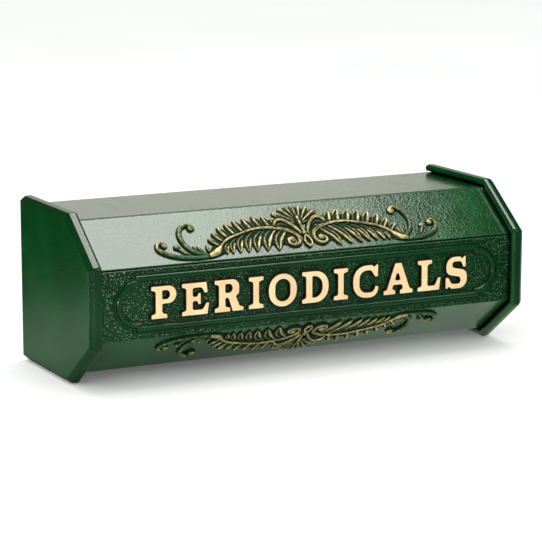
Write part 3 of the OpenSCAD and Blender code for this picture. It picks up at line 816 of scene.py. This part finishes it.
# each letter is its width, its outline and the outline of its counter, with points (x, y, radius)
LETTERS = {
    "P": (84, FOOT + [(38, 44, 4), (84, 44, 27), (84, 100, 27)] + HEAD, [(38, 84, 3), (60, 84, 11),
          (60, 60, 11), (38, 60, 3)]),
    "E": (92, TOE + [(86, 0, 2), (92, 37, 3), (80, 37, 3), (69, 18, 8), (38, 18, 4), (38, 42, 4),
          (50, 42, 4), (54, 32, 2), (64, 32, 2), (64, 68, 2), (54, 68, 2), (50, 58, 4), (38, 58, 4),
          (38, 82, 4), (65, 82, 8), (75, 65, 3), (87, 65, 3), (83, 100, 2)] + HEAD, []),
    "R": (98, FOOT + [(38, 42, 3), (46, 42, 5), (60, 0, 3), (98, 0, 2), (98, 14, 3), (85, 17, 5),
          (73, 46, 4), (84, 54, 12), (84, 100, 24)] + HEAD, [(38, 84, 3), (59, 84, 11), (59, 60, 11),
          (38, 60, 3)]),
    "I": (52, [(15, 18, 6), (0, 14, 3), (0, 0, 2), (52, 0, 2), (52, 14, 3), (37, 18, 6), (37, 82, 6),
          (52, 86, 3), (52, 100, 2), (0, 100, 2), (0, 86, 3), (15, 82, 6)], []),
    "O": (98, [(0, -2, 48), (98, -2, 48), (98, 102, 48), (0, 102, 48)], [(25, 17, 23), (73, 17, 23),
          (73, 83, 23), (25, 83, 23)]),
    "D": (94, TOE + [(94, 0, 46), (94, 100, 46)] + HEAD, [(38, 82, 3), (70, 82, 28), (70, 18, 28),
          (38, 18, 3)]),
    "C": (92, [(92, 32, 3), (79, 37, 3), (72, 17, 15), (25, 17, 23), (25, 83, 23), (64, 83, 11),
          (77, 62, 3), (90, 62, 3), (90, 102, 2), (81, 102, 2), (76, 95, 3), (68, 102, 12), (0, 102, 46),
          (0, -2, 46), (88, -2, 30)], []),
    "A": (106, [(12, 18, 6), (0, 14, 3), (0, 0, 2), (44, 0, 2), (44, 14, 3), (33, 18, 4), (37, 29, 2),
          (65, 29, 2), (69, 18, 4), (58, 14, 3), (58, 0, 2), (106, 0, 2), (106, 14, 3), (95, 18, 6),
          (65, 100, 3), (41, 100, 3)], [(43, 46, 2), (60, 46, 2), (51, 72, 3)]),
    "L": (86, TOE + [(80, 0, 2), (86, 42, 3), (74, 42, 3), (62, 18, 8), (38, 18, 4), (38, 82, 6),
          (54, 86, 3), (54, 100, 2)] + HEAD, []),
    "S": (80, [(0, 0, 2), (9, 0, 2), (13, 6, 3), (22, -2, 10), (80, -2, 30), (80, 57, 24), (27, 68, 9),
          (27, 84, 8), (56, 84, 11), (64, 65, 3), (75, 65, 3), (75, 102, 2), (66, 102, 2), (62, 94, 3),
          (54, 102, 10), (2, 102, 30), (2, 45, 22), (54, 34, 9), (54, 16, 8), (24, 16, 13), (12, 37, 3),
          (0, 37, 3)], []),
}
WORD = "PERIODICALS"


def letter_mesh(outlines, at):
    """A mesh of one letter with rounded edges. at is where its left side stands along the word."""
    k = CAP / 100
    curve = bpy.data.curves.new("letter", "CURVE")
    curve.dimensions = "2D"
    curve.fill_mode = "BOTH"
    curve.extrude = (LETTER_RISE / 2 - LETTER_EDGE) * MM
    curve.bevel_depth = LETTER_EDGE * MM
    curve.bevel_resolution = 3
    curve.offset = -LETTER_EDGE * MM
    for pts in filter(None, outlines):
        row = rounded([(x, y, max(r, SOFTEST)) for x, y, r in pts])
        s = curve.splines.new("POLY")
        s.points.add(len(row) - 1)
        for p, (x, y) in zip(s.points, row):
            p.co = ((x + at) * k * MM, (y * k - CAP / 2) * MM, 0, 1)
        s.use_cyclic_u = True
    ob = linked("letter", curve)
    mesh = bpy.data.meshes.new_from_object(ob.evaluated_get(bpy.context.evaluated_depsgraph_get()))
    bpy.data.objects.remove(ob)
    bpy.data.curves.remove(curve)
    return mesh


def lettering():
    width = sum(LETTERS[c][0] for c in WORD) + LETTER_GAP * (len(WORD) - 1)
    at = -width / 2
    bm = bmesh.new()
    for c in WORD:
        mesh = letter_mesh(LETTERS[c][1:], at)
        bm.from_mesh(mesh)
        bpy.data.meshes.remove(mesh)
        at += LETTERS[c][0] + LETTER_GAP
    bmesh.ops.translate(bm, verts=bm.verts, vec=(0, 0, (LETTER_RISE / 2 - LETTER_SINK) * MM))
    bmesh.ops.remove_doubles(bm, verts=bm.verts, dist=2e-6)
    bmesh.ops.recalc_face_normals(bm, faces=bm.faces)
    top = (LETTER_RISE - LETTER_SINK - LETTER_EDGE * 0.1) * MM
    # cream on the letters' tops; their sides take near-black paint as painted shade
    for f in bm.faces:
        f.material_index = 0 if f.calc_center_median().z > top else 1
        f.smooth = True
    m = face_matrix(ON_FRONT)
    m.translation *= MM
    bmesh.ops.transform(bm, matrix=m, verts=bm.verts)
    joined = bpy.data.meshes.new("letters_all")
    bm.to_mesh(joined)
    bm.free()
    ob = declared("letters_cast", "raised_letters", joined, [cream, letter_side_shade], "box")
    sharp_by_angle(ob, 40)


lettering()

# ---------------------------------------------------------------- scrollwork, sculpted as a height map
CELL = 0.36
HALF_W, HALF_UP = 152.0, 29.6
xs = np.arange(0.0, HALF_W + CELL, CELL)
ys = np.arange(-HALF_UP, HALF_UP + CELL, CELL)
GX, GY = np.meshgrid(xs, ys)             # one half, from the middle outwards
BASE = -0.6                              # the height where nothing is laid, and so below the face
PROUD = -0.5                             # what is higher than this is kept
BOTTOM = -0.55


def curve_points(ctrl, steps):
    """A smooth curve through control points (Catmull-Rom)."""
    p = np.array(ctrl, float)
    p = np.vstack([2 * p[0] - p[1], p, 2 * p[-1] - p[-2]])
    t = (np.arange(steps) / steps)[:, None]
    spans = [b + 0.5 * ((c - a) * t + (2 * a - 5 * b + 4 * c - d) * t ** 2 + (3 * b - a - 3 * c + d) * t ** 3)
             for a, b, c, d in zip(p, p[1:], p[2:], p[3:])]
    return np.vstack(spans + [p[-2]])


def nearest(path):
    """The grid points near a path, and each one's distance from it, side of it and share along it."""
    pad = 9.0
    sel = ((GX > path[:, 0].min() - pad) & (GX < path[:, 0].max() + pad)
           & (GY > path[:, 1].min() - pad) & (GY < path[:, 1].max() + pad))
    q = np.stack([GX[sel], GY[sel]], 1)
    seg = path[1:] - path[:-1]
    length = np.hypot(seg[:, 0], seg[:, 1])
    total = np.concatenate([[0], np.cumsum(length)])
    best = np.full(len(q), 1e9)
    side = np.zeros(len(q))
    along = np.zeros(len(q))
    for i in range(len(seg)):
        r = q - path[i]
        t = np.clip((r @ seg[i]) / (length[i] ** 2), 0, 1)
        off = r - t[:, None] * seg[i]
        dist = np.hypot(off[:, 0], off[:, 1])
        near = dist < best
        best[near] = dist[near]
        side[near] = np.sign(seg[i, 0] * off[near, 1] - seg[i, 1] * off[near, 0])
        along[near] = (total[i] + t[near] * length[i]) / total[-1]
    return sel, best, side, along


# sections of a stroke: the height at u, which goes from -1 at one edge to 1 at the other
def crest(u, at, width):
    return np.exp(-((u - at) / width) ** 2)


def blunt_section(u, power):
    return np.sqrt(np.clip(1 - u ** power, 0, 1))


def round_section(u):
    return blunt_section(u, 2)


def flat_section(u):
    return np.clip(1 - u ** 8, 0, 1)


def keel_section(u):
    return np.clip(1 - np.abs(u) ** 1.3, 0, 1)


def fluted_section(u):
    """A finger with its crest to one side and a shallow flute beside it, as on a leaflet."""
    ridges = np.maximum(crest(u, -0.30, 0.34), 0.62 * crest(u, 0.58, 0.20))
    return blunt_section(u, 4) * (0.40 + 0.60 * ridges)


def lobe_section(u):
    """A curled lobe: one edge stands up, and the other lies low with a vein in it."""
    ridges = np.maximum(crest(u, -0.38, 0.30), 0.60 * crest(u, 0.42, 0.22))
    return blunt_section(u, 6) * (0.38 + 0.62 * ridges)


def fan_section(u):
    """A rounded rib with a fine line down each side."""
    return blunt_section(u, 4) * (0.62 + 0.38 * crest(u, 0, 0.34) + 0.16 * crest(np.abs(u), 0.78, 0.1))


def rim_section(u):
    """A scooped band whose one edge stands up as a rim."""
    return blunt_section(u, 6) * (0.42 + 0.58 * crest(u, 0.62, 0.26))


# widths and heights of a stroke: the value at t, the share along it
def leaf_width(w):
    """Fairly even along its length, and drawn in to a blunt tip."""
    return lambda t: w * (0.78 + 0.22 * np.sin(pi * t)) * (1 - 0.5 * np.clip((t - 0.55) / 0.45, 0, 1) ** 1.6)


def pointed(w):
    return lambda t: w * np.clip(np.sin(pi * np.clip(0.22 + 0.77 * t, 0, 1)) ** 0.7, 0.03, 1)


def swollen(ends, more, turns=1.0):
    return lambda t: ends + more * np.sin(pi * t * turns)


def const(v):
    return lambda t: np.full_like(t, v)


def line(a, b):
    return lambda t: a + (b - a) * t


def between(at, values):
    return lambda t: np.interp(t, at, values)


H = np.full(GX.shape, BASE)


def lay(pts, width, height, section, over=False, steps=7):
    """Lays a stroke on the relief, smooth through its points, or straight between them if steps is 0. With
    over, it hides what it covers, apart from its outermost edge."""
    sel, dist, side, along = nearest(curve_points(pts, steps) if steps else np.array(pts))
    u = dist / np.maximum(width(along) / 2, 1e-3)
    inside = u < 1
    u = np.where(inside, u * side, 1.0)
    h = np.where(inside, height(along) * section(u), BASE)
    cur = H[sel]
    if over:
        cover = np.clip((1 - np.abs(u)) / 0.12, 0, 1)
        H[sel] = np.where(inside, np.maximum(cur * (1 - cover) + h * cover, np.minimum(cur, h)), cur)
    else:
        H[sel] = np.maximum(cur, h)


def ball(x, y, r, h):
    d = np.hypot(GX - x, GY - y) / r
    H[:] = np.maximum(H, np.where(d < 1, h * np.sqrt(np.clip(1 - d * d, 0, 1)), BASE))


def leaves(rows, bend, width, height, section):
    """Leaves from the outside in, each over the one before it. A row is a leaf's base, tip and width."""
    for (bx, by), (tx, ty), w in rows:
        mid = ((bx + tx) / 2 + bend[0], (by + ty) / 2 + bend[1])
        lay([(bx, by), mid, (tx, ty)], width(w), height, section, over=True)


def plume():
    # backing under the leaflets, so that they grow out of one plume
    lay([(88, -19), (74, -12), (60, -9), (46, -8), (32, -8), (20, -8)], line(13, 25), const(1.0),
        flat_section, steps=6)
    lay([(86, -10), (73, -1), (58, 4), (44, 6), (32, 6)], line(6, 13), const(1.0), flat_section, steps=6)
    lobes = [((72.5, -12.0), (81.0, -24.4), 6.6), ((66.0, -9.0), (75.3, -24.2), 7.6),
             ((58.0, -6.2), (68.0, -24.2), 8.6), ((49.0, -4.2), (60.2, -24.3), 9.6),
             ((39.5, -2.8), (52.0, -24.6), 10.6), ((29.0, -2.6), (42.0, -24.6), 11.4),
             ((19.0, -4.2), (31.0, -25.4), 11.4)]
    leaves(lobes, (2.2, 1.4), lambda w: pointed(w * 1.12), line(2.4, 3.1), lobe_section)
    leaflets = [((84, -14.5), (92.2, -6.2), 6.4), ((79, -9.6), (86.4, -0.2), 7.4),
                ((73, -5.6), (79.2, 5.6), 8.4), ((65, -2.6), (70.6, 9.0), 9.0),
                ((56, -0.8), (61.4, 12.0), 9.4), ((46.5, 0.6), (51.6, 13.4), 9.6),
                ((37, 1.6), (41.6, 15.2), 9.6), ((28.5, 1.4), (32.4, 14.0), 9.0),
                ((22, 1.0), (25.0, 10.5), 8.0)]
    leaves(leaflets, (-0.5, -0.6), lambda w: leaf_width(w * 1.22), line(2.0, 3.2), fluted_section)
    # stem and volute
    stem = [(91, -22.5), (83, -14), (74, -7.4), (60, -2.4), (48.5, 1), (37, 2.2), (26, 1.0), (17.5, -1.8),
            (10, -6.6), (6.9, -12), (7.2, -17), (10, -21), (15, -22), (19, -19), (18.6, -14.5)]
    lay(stem, between([0, 0.25, 0.45, 0.6, 0.72, 1], [3.4, 2.6, 3.2, 5.4, 6.0, 3.4]),
        between([0, 0.5, 1], [3.1, 3.0, 3.5]), rim_section, over=True, steps=9)
    lay(stem, between([0, 0.4, 0.55, 1], [2.4, 1.9, 1.5, 1.2]), between([0, 0.5, 1], [3.3, 3.1, 3.3]),
        round_section, steps=9)
    ball(14.6, -14.8, 3.6, 3.8)


def fan():
    """Fluted ribs about a centre, the curled leaves that fold over their sides, a keel and a pendant."""
    middle_y = 3.5
    ribs = ((15, 23.8, 9.2), (35, 23.8, 9.2), (54, 21.6, 8.0), (72, 20.4, 8.0), (90, 20.4, 8.0))
    for angle, reach, w in ribs:
        way = np.array([cos(radians(angle)), sin(radians(angle))])
        start, tip = (way * r + (0, middle_y) for r in (4, reach))
        lay([start, (start + tip) / 2 + (0, 0.4), tip],
            lambda t: w * (0.28 + 0.72 * t ** 0.9) * (1 - 0.34 * np.clip((t - 0.8) / 0.2, 0, 1) ** 1.5),
            line(2.3, 3.4), fan_section, over=True)
    leaf = [(25.5, 4.6), (22.6, 8.6), (17.6, 10.2), (12.6, 7.4), (8.4, 2.4), (5.4, -2.6), (3.4, -7.4)]
    lay([(24, 3.4), (17, 5.4), (11, 2.0), (7, -3.0)], line(6.0, 5.0), const(1.5), round_section,
        over=True, steps=8)
    lay(leaf, swollen(3.4, 1.4), swollen(3.2, 0.4), rim_section, over=True, steps=9)
    lay(leaf, const(1.7), const(3.5), round_section, steps=9)
    lay([(0.0, 10.2), (0.0, 6.0), (0.0, 1.0), (0.0, -5.5)], between([0, 0.2, 1], [6.4, 7.4, 1.6]),
        line(4.2, 3.0), keel_section, over=True, steps=0)
    ball(0.0, -8.4, 2.6, 3.9)
    lay([(0.0, -11.4), (2.3, -15), (3.1, -19), (1.9, -22.6), (0.0, -24.2)], const(2.4), const(3.0),
        round_section)
    lay([(0.0, -14.0), (0.0, -22.0)], const(5.0), const(1.3), round_section, steps=0)


def scrolls(shift, stretch):
    """The scrolls at the outer end. shift moves the tall one outwards, and stretch draws out the low one."""
    def moved(pts):
        return [(x + shift * min(max((x - 90) / 9, 0), 1), y) for x, y in pts]

    def drawn(pts):
        return [(88 + (x - 88) * stretch, y) for x, y in pts]

    tall = [(90, -24.2), (98, -22.8), (104.5, -19.2), (109.6, -13), (112.3, -4.5), (111.6, 4), (107.8, 10.4),
            (102.6, 13), (98.8, 11.4)]
    lay(moved(tall), swollen(3.0, 2.6, 0.8), line(2.2, 3.2), round_section, steps=9)
    ball(*moved([(98.8, 9.2)])[0], 3.9, 3.5)
    low = [(88, -24), (99, -25.6), (110, -25.2), (120.5, -22.8), (128.5, -18.2), (132.8, -12.2),
           (131.6, -6.8), (127.6, -6.2)]
    lay(drawn(low), swollen(3.2, 2.4, 0.85), line(2.2, 3.0), round_section, steps=9)
    ball(*drawn([(127.4, -8.6)])[0], 3.5, 3.3)
    lay(drawn([(109, -23.4), (113.5, -19.4), (117, -14)]), line(3.0, 4.4), line(2.0, 2.6), fluted_section)
    ball(*drawn([(118.2, -11.8)])[0], 3.4, 3.0)
    for bx, by, tx, ty in ((92.5, -22.5, 94.5, -13), (96.8, -22.0, 99.6, -12.4), (101, -20, 104.2, -12.6)):
        finger = [(bx, by), ((bx + tx) / 2 + 0.8, (by + ty) / 2), (tx, ty)]
        lay(moved(finger), leaf_width(4.6), line(2.2, 2.9), fluted_section, steps=6)
    lay([(97, -24.6), (90, -21.5), (83.5, -14.8)], pointed(8.2), const(3.0), round_section, over=True)


def blur(a, sigma):
    r = int(3 * sigma / CELL) + 1
    k = np.exp(-0.5 * (np.arange(-r, r + 1) * CELL / sigma) ** 2)
    k /= k.sum()
    p = np.pad(a, r, mode="edge")
    for axis in (0, 1):
        p = np.apply_along_axis(lambda v: np.convolve(v, k, "valid"), axis, p)
    return p


plume()
fan()
middle = H
halves = []
for shift, stretch in ((-3.5, 1.0), (5.5, 1.22)):          # right, and then left, where they reach farther
    H = middle.copy()
    scrolls(shift, stretch)
    halves.append(H)

full_h = np.hstack([halves[1][:, :0:-1], halves[0]])
full_x = np.concatenate([-xs[:0:-1], xs])
soft = blur(full_h, 0.28)                                  # the softness of a casting under paint
ridge = soft - blur(np.maximum(full_h, 0), 1.0)
on_plume = np.interp(np.abs(full_x), [14, 24, 90, 100], [0.5, 1.0, 1.0, 0.37])
high = np.clip((soft - 1.8) / 1.1, 0, 1)
rubbed = np.clip(0.10 + ridge * 0.62 + (0.16 + high * 0.40) * on_plume, 0, 1)
gilt_value = rubbed * np.clip(soft - 0.9, 0, 1)
# hollow_value marks the hollows between leaves, where the paint is darkened as painted shade
hollow_value = np.clip(0.28 - ridge * 1.2 + np.clip((1.8 - soft) / 1.5, 0, 1) * 0.7, 0, 1)


def relief(node, face, body, flip):
    """The part of the height map that stands proud of the face, closed with a skirt and a bottom."""
    proud = soft > PROUD
    ny, nx = soft.shape
    corners = ((0, 0), (0, 1), (1, 1), (1, 0))
    cell_in = np.all([proud[dy:ny - 1 + dy, dx:nx - 1 + dx] for dy, dx in corners], 0)
    used = np.zeros_like(proud)
    for dy, dx in corners:
        used[dy:ny - 1 + dy, dx:nx - 1 + dx] |= cell_in
    idx = -np.ones(soft.shape, int)
    idx[used] = np.arange(used.sum())
    yy, xx = np.nonzero(used)
    n = len(yy)
    y = -ys[yy] if flip else ys[yy]
    top = np.stack([full_x[xx], y, soft[yy, xx]], 1)
    bottom = np.stack([full_x[xx], y, np.full(n, BOTTOM)], 1)
    cy, cx = np.nonzero(cell_in)
    quads = np.stack([idx[cy + dy, cx + dx] for dy, dx in corners], 1)
    faces = [quads, quads[:, ::-1] + n]
    # a wall wherever a cell has no neighbour
    padded = np.pad(cell_in, 1)
    beside = ((-1, 0), (0, 1), (1, 0), (0, -1))
    for (dy, dx), a, b in zip(beside, corners, corners[1:] + corners[:1]):
        ey, ex = np.nonzero(cell_in & ~padded[1 + dy:ny + dy, 1 + dx:nx + dx])
        p, q = idx[ey + a[0], ex + a[1]], idx[ey + b[0], ex + b[1]]
        faces.append(np.stack([q, p, p + n, q + n], 1))
    name = node + "_cast"
    mesh = mesh_mm(name, on_face(face, np.vstack([top, bottom])), np.vstack(faces).tolist())
    declared(name, node, mesh, [gilt, hollow_shade], body)
    mesh.shade_smooth()
    for key, value in (("gilt", gilt_value), ("hollow", hollow_value)):
        layer = mesh.attributes.new(key, "FLOAT", "POINT")
        layer.data.foreach_set("value", np.tile(value[yy, xx], 2).astype(np.float32))
    # the walls, the bottom and the deepest top faces take the hollows' near-black painted shade
    slots = np.ones(len(mesh.polygons), np.int32)          # the bottom and the walls are hollow paint too
    slots[:len(quads)] = hollow_value[yy, xx][quads].mean(1) > 0.5
    mesh.polygons.foreach_set("material_index", slots)


relief("flap_scrollwork", ON_SLOPE, "flap", False)
relief("lower_scrollwork", ON_LOWER, "box", True)

# ---------------------------------------------------------------- fixings
SLOT_L, SLOT_W = 2.2, 0.45               # half the length and width of each slot of a cross recess
WASHER_T = 0.8


def end_fixings(side, word):
    """The screws that hold the castings to an end plate, each through a washer on its lug."""
    screws, washers, slots = Part(), Part(), Part()
    screw_node, washer_node = "end_screws_" + word, "end_washers_" + word
    screw = [(0, -12), (1.4, -12), (2.0, -11.2), (2.0, 0), (3.8, 0), (3.8, 1.3), (3.55, 1.9), (2.9, 2.35),
             (2.0, 2.55), (0, 2.6)]
    washer = [(2.2, -WASHER_T), (4.5, -WASHER_T), (4.7, -0.6), (4.7, -0.2), (4.5, 0), (2.4, 0), (2.2, -0.15),
              (2.2, -WASHER_T)]
    seat = side * (X_LUG - WASHER_T)
    x = sorted((seat - side * 3.2, seat - side * 1.3))
    for d, z in TOP_LUGS + SHELL_LUGS:
        screws.lathe(screw, (seat, -d, z), (-side, 0, 0))
        washers.lathe(washer, (seat, -d, z), (-side, 0, 0))
        slots.block(x, around(d, SLOT_L), around(z, SLOT_W))
        slots.block(x, around(d, SLOT_W), around(z, SLOT_L))
    ob = screws.piece(screw_node + "_turned", screw_node, [plated], "steel")
    cut(ob, slots)
    sharp_by_angle(ob, 30)
    washers.piece(washer_node + "_turned", washer_node, [plated], "steel", sharp=30)


def hinge(side, word):
    """A plain pin from the end plate into the flap's bore, with a washer round it in the gap."""
    pin, washer = Part(), Part()
    pin_node, washer_node = "hinge_pin_" + word, "hinge_washer_" + word
    x0 = X_FLAP - BORE_DEPTH + 1         # a little short of the bore's end
    long = X_RIM + 10 - x0
    bevel = 0.4
    pin.lathe([(0, 0), (PIN_R - bevel, 0), (PIN_R, bevel), (PIN_R, long - bevel), (PIN_R - bevel, long),
               (0, long)], (side * x0, -AXIS_D, AXIS_Z), (side, 0, 0))
    pin.piece(pin_node + "_turned", pin_node, [plated], "steel", sharp=30)
    washer.lathe([(BORE_R, 0), (4.4, 0), (4.5, 0.1), (4.5, 0.7), (4.4, 0.8), (BORE_R, 0.8), (BORE_R, 0)],
                 (side * (X_FLAP + 0.2), -AXIS_D, AXIS_Z), (side, 0, 0))
    washer.piece(washer_node + "_moulded", washer_node, [nylon_mat], "nylon", sharp=30)


def back_screws():
    screws, slots = Part(), Part()
    for x in BACK_XS:
        for z in (-BACK_Z, BACK_Z):
            screws.lathe([(0, 0.25), (3.9, 0.2), (4.2, 0.45), (2.0, 2.5), (2.0, 9.6), (1.5, 10.2), (0, 10.2)],
                         (x, 0, z), (0, -1, 0))
            slots.block(around(x, SLOT_W), (-1, 1.5), around(z, SLOT_L))
            slots.block(around(x, SLOT_L), (-1, 1.5), around(z, SLOT_W))
    ob = screws.piece("back_screws_turned", "back_screws", [plated], "steel")
    cut(ob, slots)
    sharp_by_angle(ob, 30)


def bumpers():
    """Domed rubber feet, each with a stem pressed through the ledge."""
    feet = Part()
    d = FRONT - WALL - 5
    foot = [(0, -4.4), (1.2, -4.4), (2.1, -3.1), (1.5, -2.9), (1.5, 0), (3.9, 0), (4.0, 0.2), (3.9, 0.7),
            (3.2, 1.05), (2.0, 1.17), (0, 1.2)]
    for x in BUMPER_XS:
        feet.lathe(foot, (x, -d, slope_z(d, LEDGE_IN)), (0, -sin(PITCH), cos(PITCH)))
    feet.piece("flap_bumpers_moulded", "flap_bumpers", [rubber_mat], "rubber", sharp=40)


for side, word in SIDES:
    end_fixings(side, word)
    hinge(side, word)
back_screws()
bumpers()

# ---------------------------------------------------------------- floor, lights and camera, in metres
FLOOR_Z = cad_lo.z - 0.0005


def level(name, x, y, z, mat):
    verts = [(x[0], y[0], z), (x[1], y[0], z), (x[1], y[1], z), (x[0], y[1], z)]
    mesh = bpy.data.meshes.new(name)
    mesh.from_pydata(verts, [], [(0, 1, 2, 3)])
    mesh.materials.append(mat)
    ob = linked(name, mesh)
    return ob


def floor():
    n = Nodes("floor")
    colour = n.mix(n.span(n.noise(2.0), 0.3, 0.7), (0.90, 0.90, 0.895, 1), (0.93, 0.93, 0.925, 1))
    n.set(Base_Color=colour, Roughness=0.9, Emission_Color=(1, 1, 1, 1), Emission_Strength=0.09)
    level("floor", (-30, 30), (-30, 30), FLOOR_Z, n.mat).visible_glossy = False


def table_reflection():
    """What the gloss sees of the table, all painted reflection: a dark top, lighter and darker from place to
    place, that ends a little way behind the box, and a painted glow under the box's right half and in a strip
    past its left end."""
    n = Nodes("table_reflection")
    x, y, _ = n.axes()
    in_front = n.times(n.span(x, -0.05, 0.40, 0.75, 0.06), n.span(x, -0.45, -0.25, 0.35, 1.0))
    fade = n.times(n.span(y, -0.02, 0.40, 1.0, 0.0), n.math("MAXIMUM", in_front, n.span(y, -0.18, -0.12)))
    # painted reflection: the card glows under the box's right half, and its bright strip past the left end
    # puts a painted highlight on the left plate's crease
    under_box = n.span(n.far_from(y, -0.08), 0.09, 0.14, 1.0, 0.0)
    rightwards = n.times(n.span(x, -0.20, 0.20, 0.10, 0.47), n.span(x, -0.21, -0.19))
    beside = n.times(n.span(x, -0.52, -0.44, 4.0, 0.0), n.span(n.far_from(y, -0.05), 0.08, 0.13, 1.0, 0.0))
    n.set(Base_Color=n.mix(fade, (0.0, 0.0, 0.0, 1), (0.215, 0.250, 0.205, 1)), Roughness=0.9,
          Emission_Color=(0.88, 1.0, 0.87, 1),
          Emission_Strength=n.math("MAXIMUM", n.times(under_box, rightwards), beside))
    ob = level("table_reflection", (-1.2, 1.2), (-1.0, 0.45), FLOOR_Z + 0.0002, n.mat)
    ob.visible_camera = False
    ob.visible_diffuse = False
    ob.visible_shadow = False


def softbox(name, at, to, size, strength, colour=(1, 1, 1)):
    light = bpy.data.lights.new(name, "AREA")
    light.shape = "RECTANGLE"
    light.size, light.size_y = size
    light.energy = strength
    light.color = colour
    ob = linked(name, light)
    ob.location = at
    ob.rotation_mode = "QUATERNION"
    ob.rotation_quaternion = (Vector(to) - Vector(at)).to_track_quat("-Z", "Y")
    ob.visible_camera = False
    return ob


def lights():
    softbox("overhead", (0.0, 0.1, 1.60), (0.0, 0.0, 0.0), (1.4, 1.2), 9)
    softbox("front_left", (-1.9, -2.3, 1.9), (0, -0.08, 0), (1.6, 1.6), 26).visible_glossy = False
    # cards that only the gloss sees
    above = (0.13, 0.20)
    cards = (("overhead_gloss", (*above, 1.60), (*above, 0.0), (1.60, 1.40), 40, (1, 0.955, 0.955)),
             ("front_gloss", (0.75, -1.60, 0.95), (0, -0.15, 0), (0.9, 0.5), 7),
             ("left_gloss", (-1.45, -1.40, 0.0), (0, -0.15, 0), (0.6, 0.13), 9))
    for card in cards:
        softbox(*card).visible_diffuse = False


def world():
    """An even white for diffuse light, and for reflections a pale wall behind and a dim room."""
    n = Nodes("studio", world=True)
    bpy.context.scene.world = n.mat
    x, y, z = n.axes()
    turn = n.math("ARCTAN2", x, y)
    wall_side = n.times(n.span(turn, radians(-6), radians(10)),
                        n.span(turn, radians(28), radians(40), 1.0, 0.0))
    wall_up = n.times(n.span(z, -0.02, 0.06), n.span(z, 0.55, 0.75, 1.0, 0.0))
    reflected = n.plus(n.times(n.times(wall_side, wall_up), 0.80), 0.012)
    glossy = n.node("LightPath").outputs["Is Glossy Ray"]
    n.set(Color=n.mix(glossy, (0.98, 1.0, 0.99, 1), (1.0, 0.985, 0.90, 1)),
          Strength=n.plus(n.times(glossy, n.math("SUBTRACT", reflected, 1.0)), 1.0))
    n.mat.cycles.sampling_method = "NONE"


def camera(at, look, lens):
    cam = bpy.data.cameras.new("camera")
    cam.sensor_width = 36
    cam.lens = lens
    cam.clip_end = 100
    ob = linked("camera", cam)
    ob.location = at
    ob.rotation_mode = "QUATERNION"
    ob.rotation_quaternion = Vector(look).to_track_quat("-Z", "Y")
    bpy.context.scene.camera = ob


floor()
table_reflection()
lights()
world()
camera(at=(-0.96927, -1.99180, 0.42031), look=(0.44198, 0.87626, -0.19189), lens=159.9)
bpy.context.scene.view_settings.view_transform = "Standard"
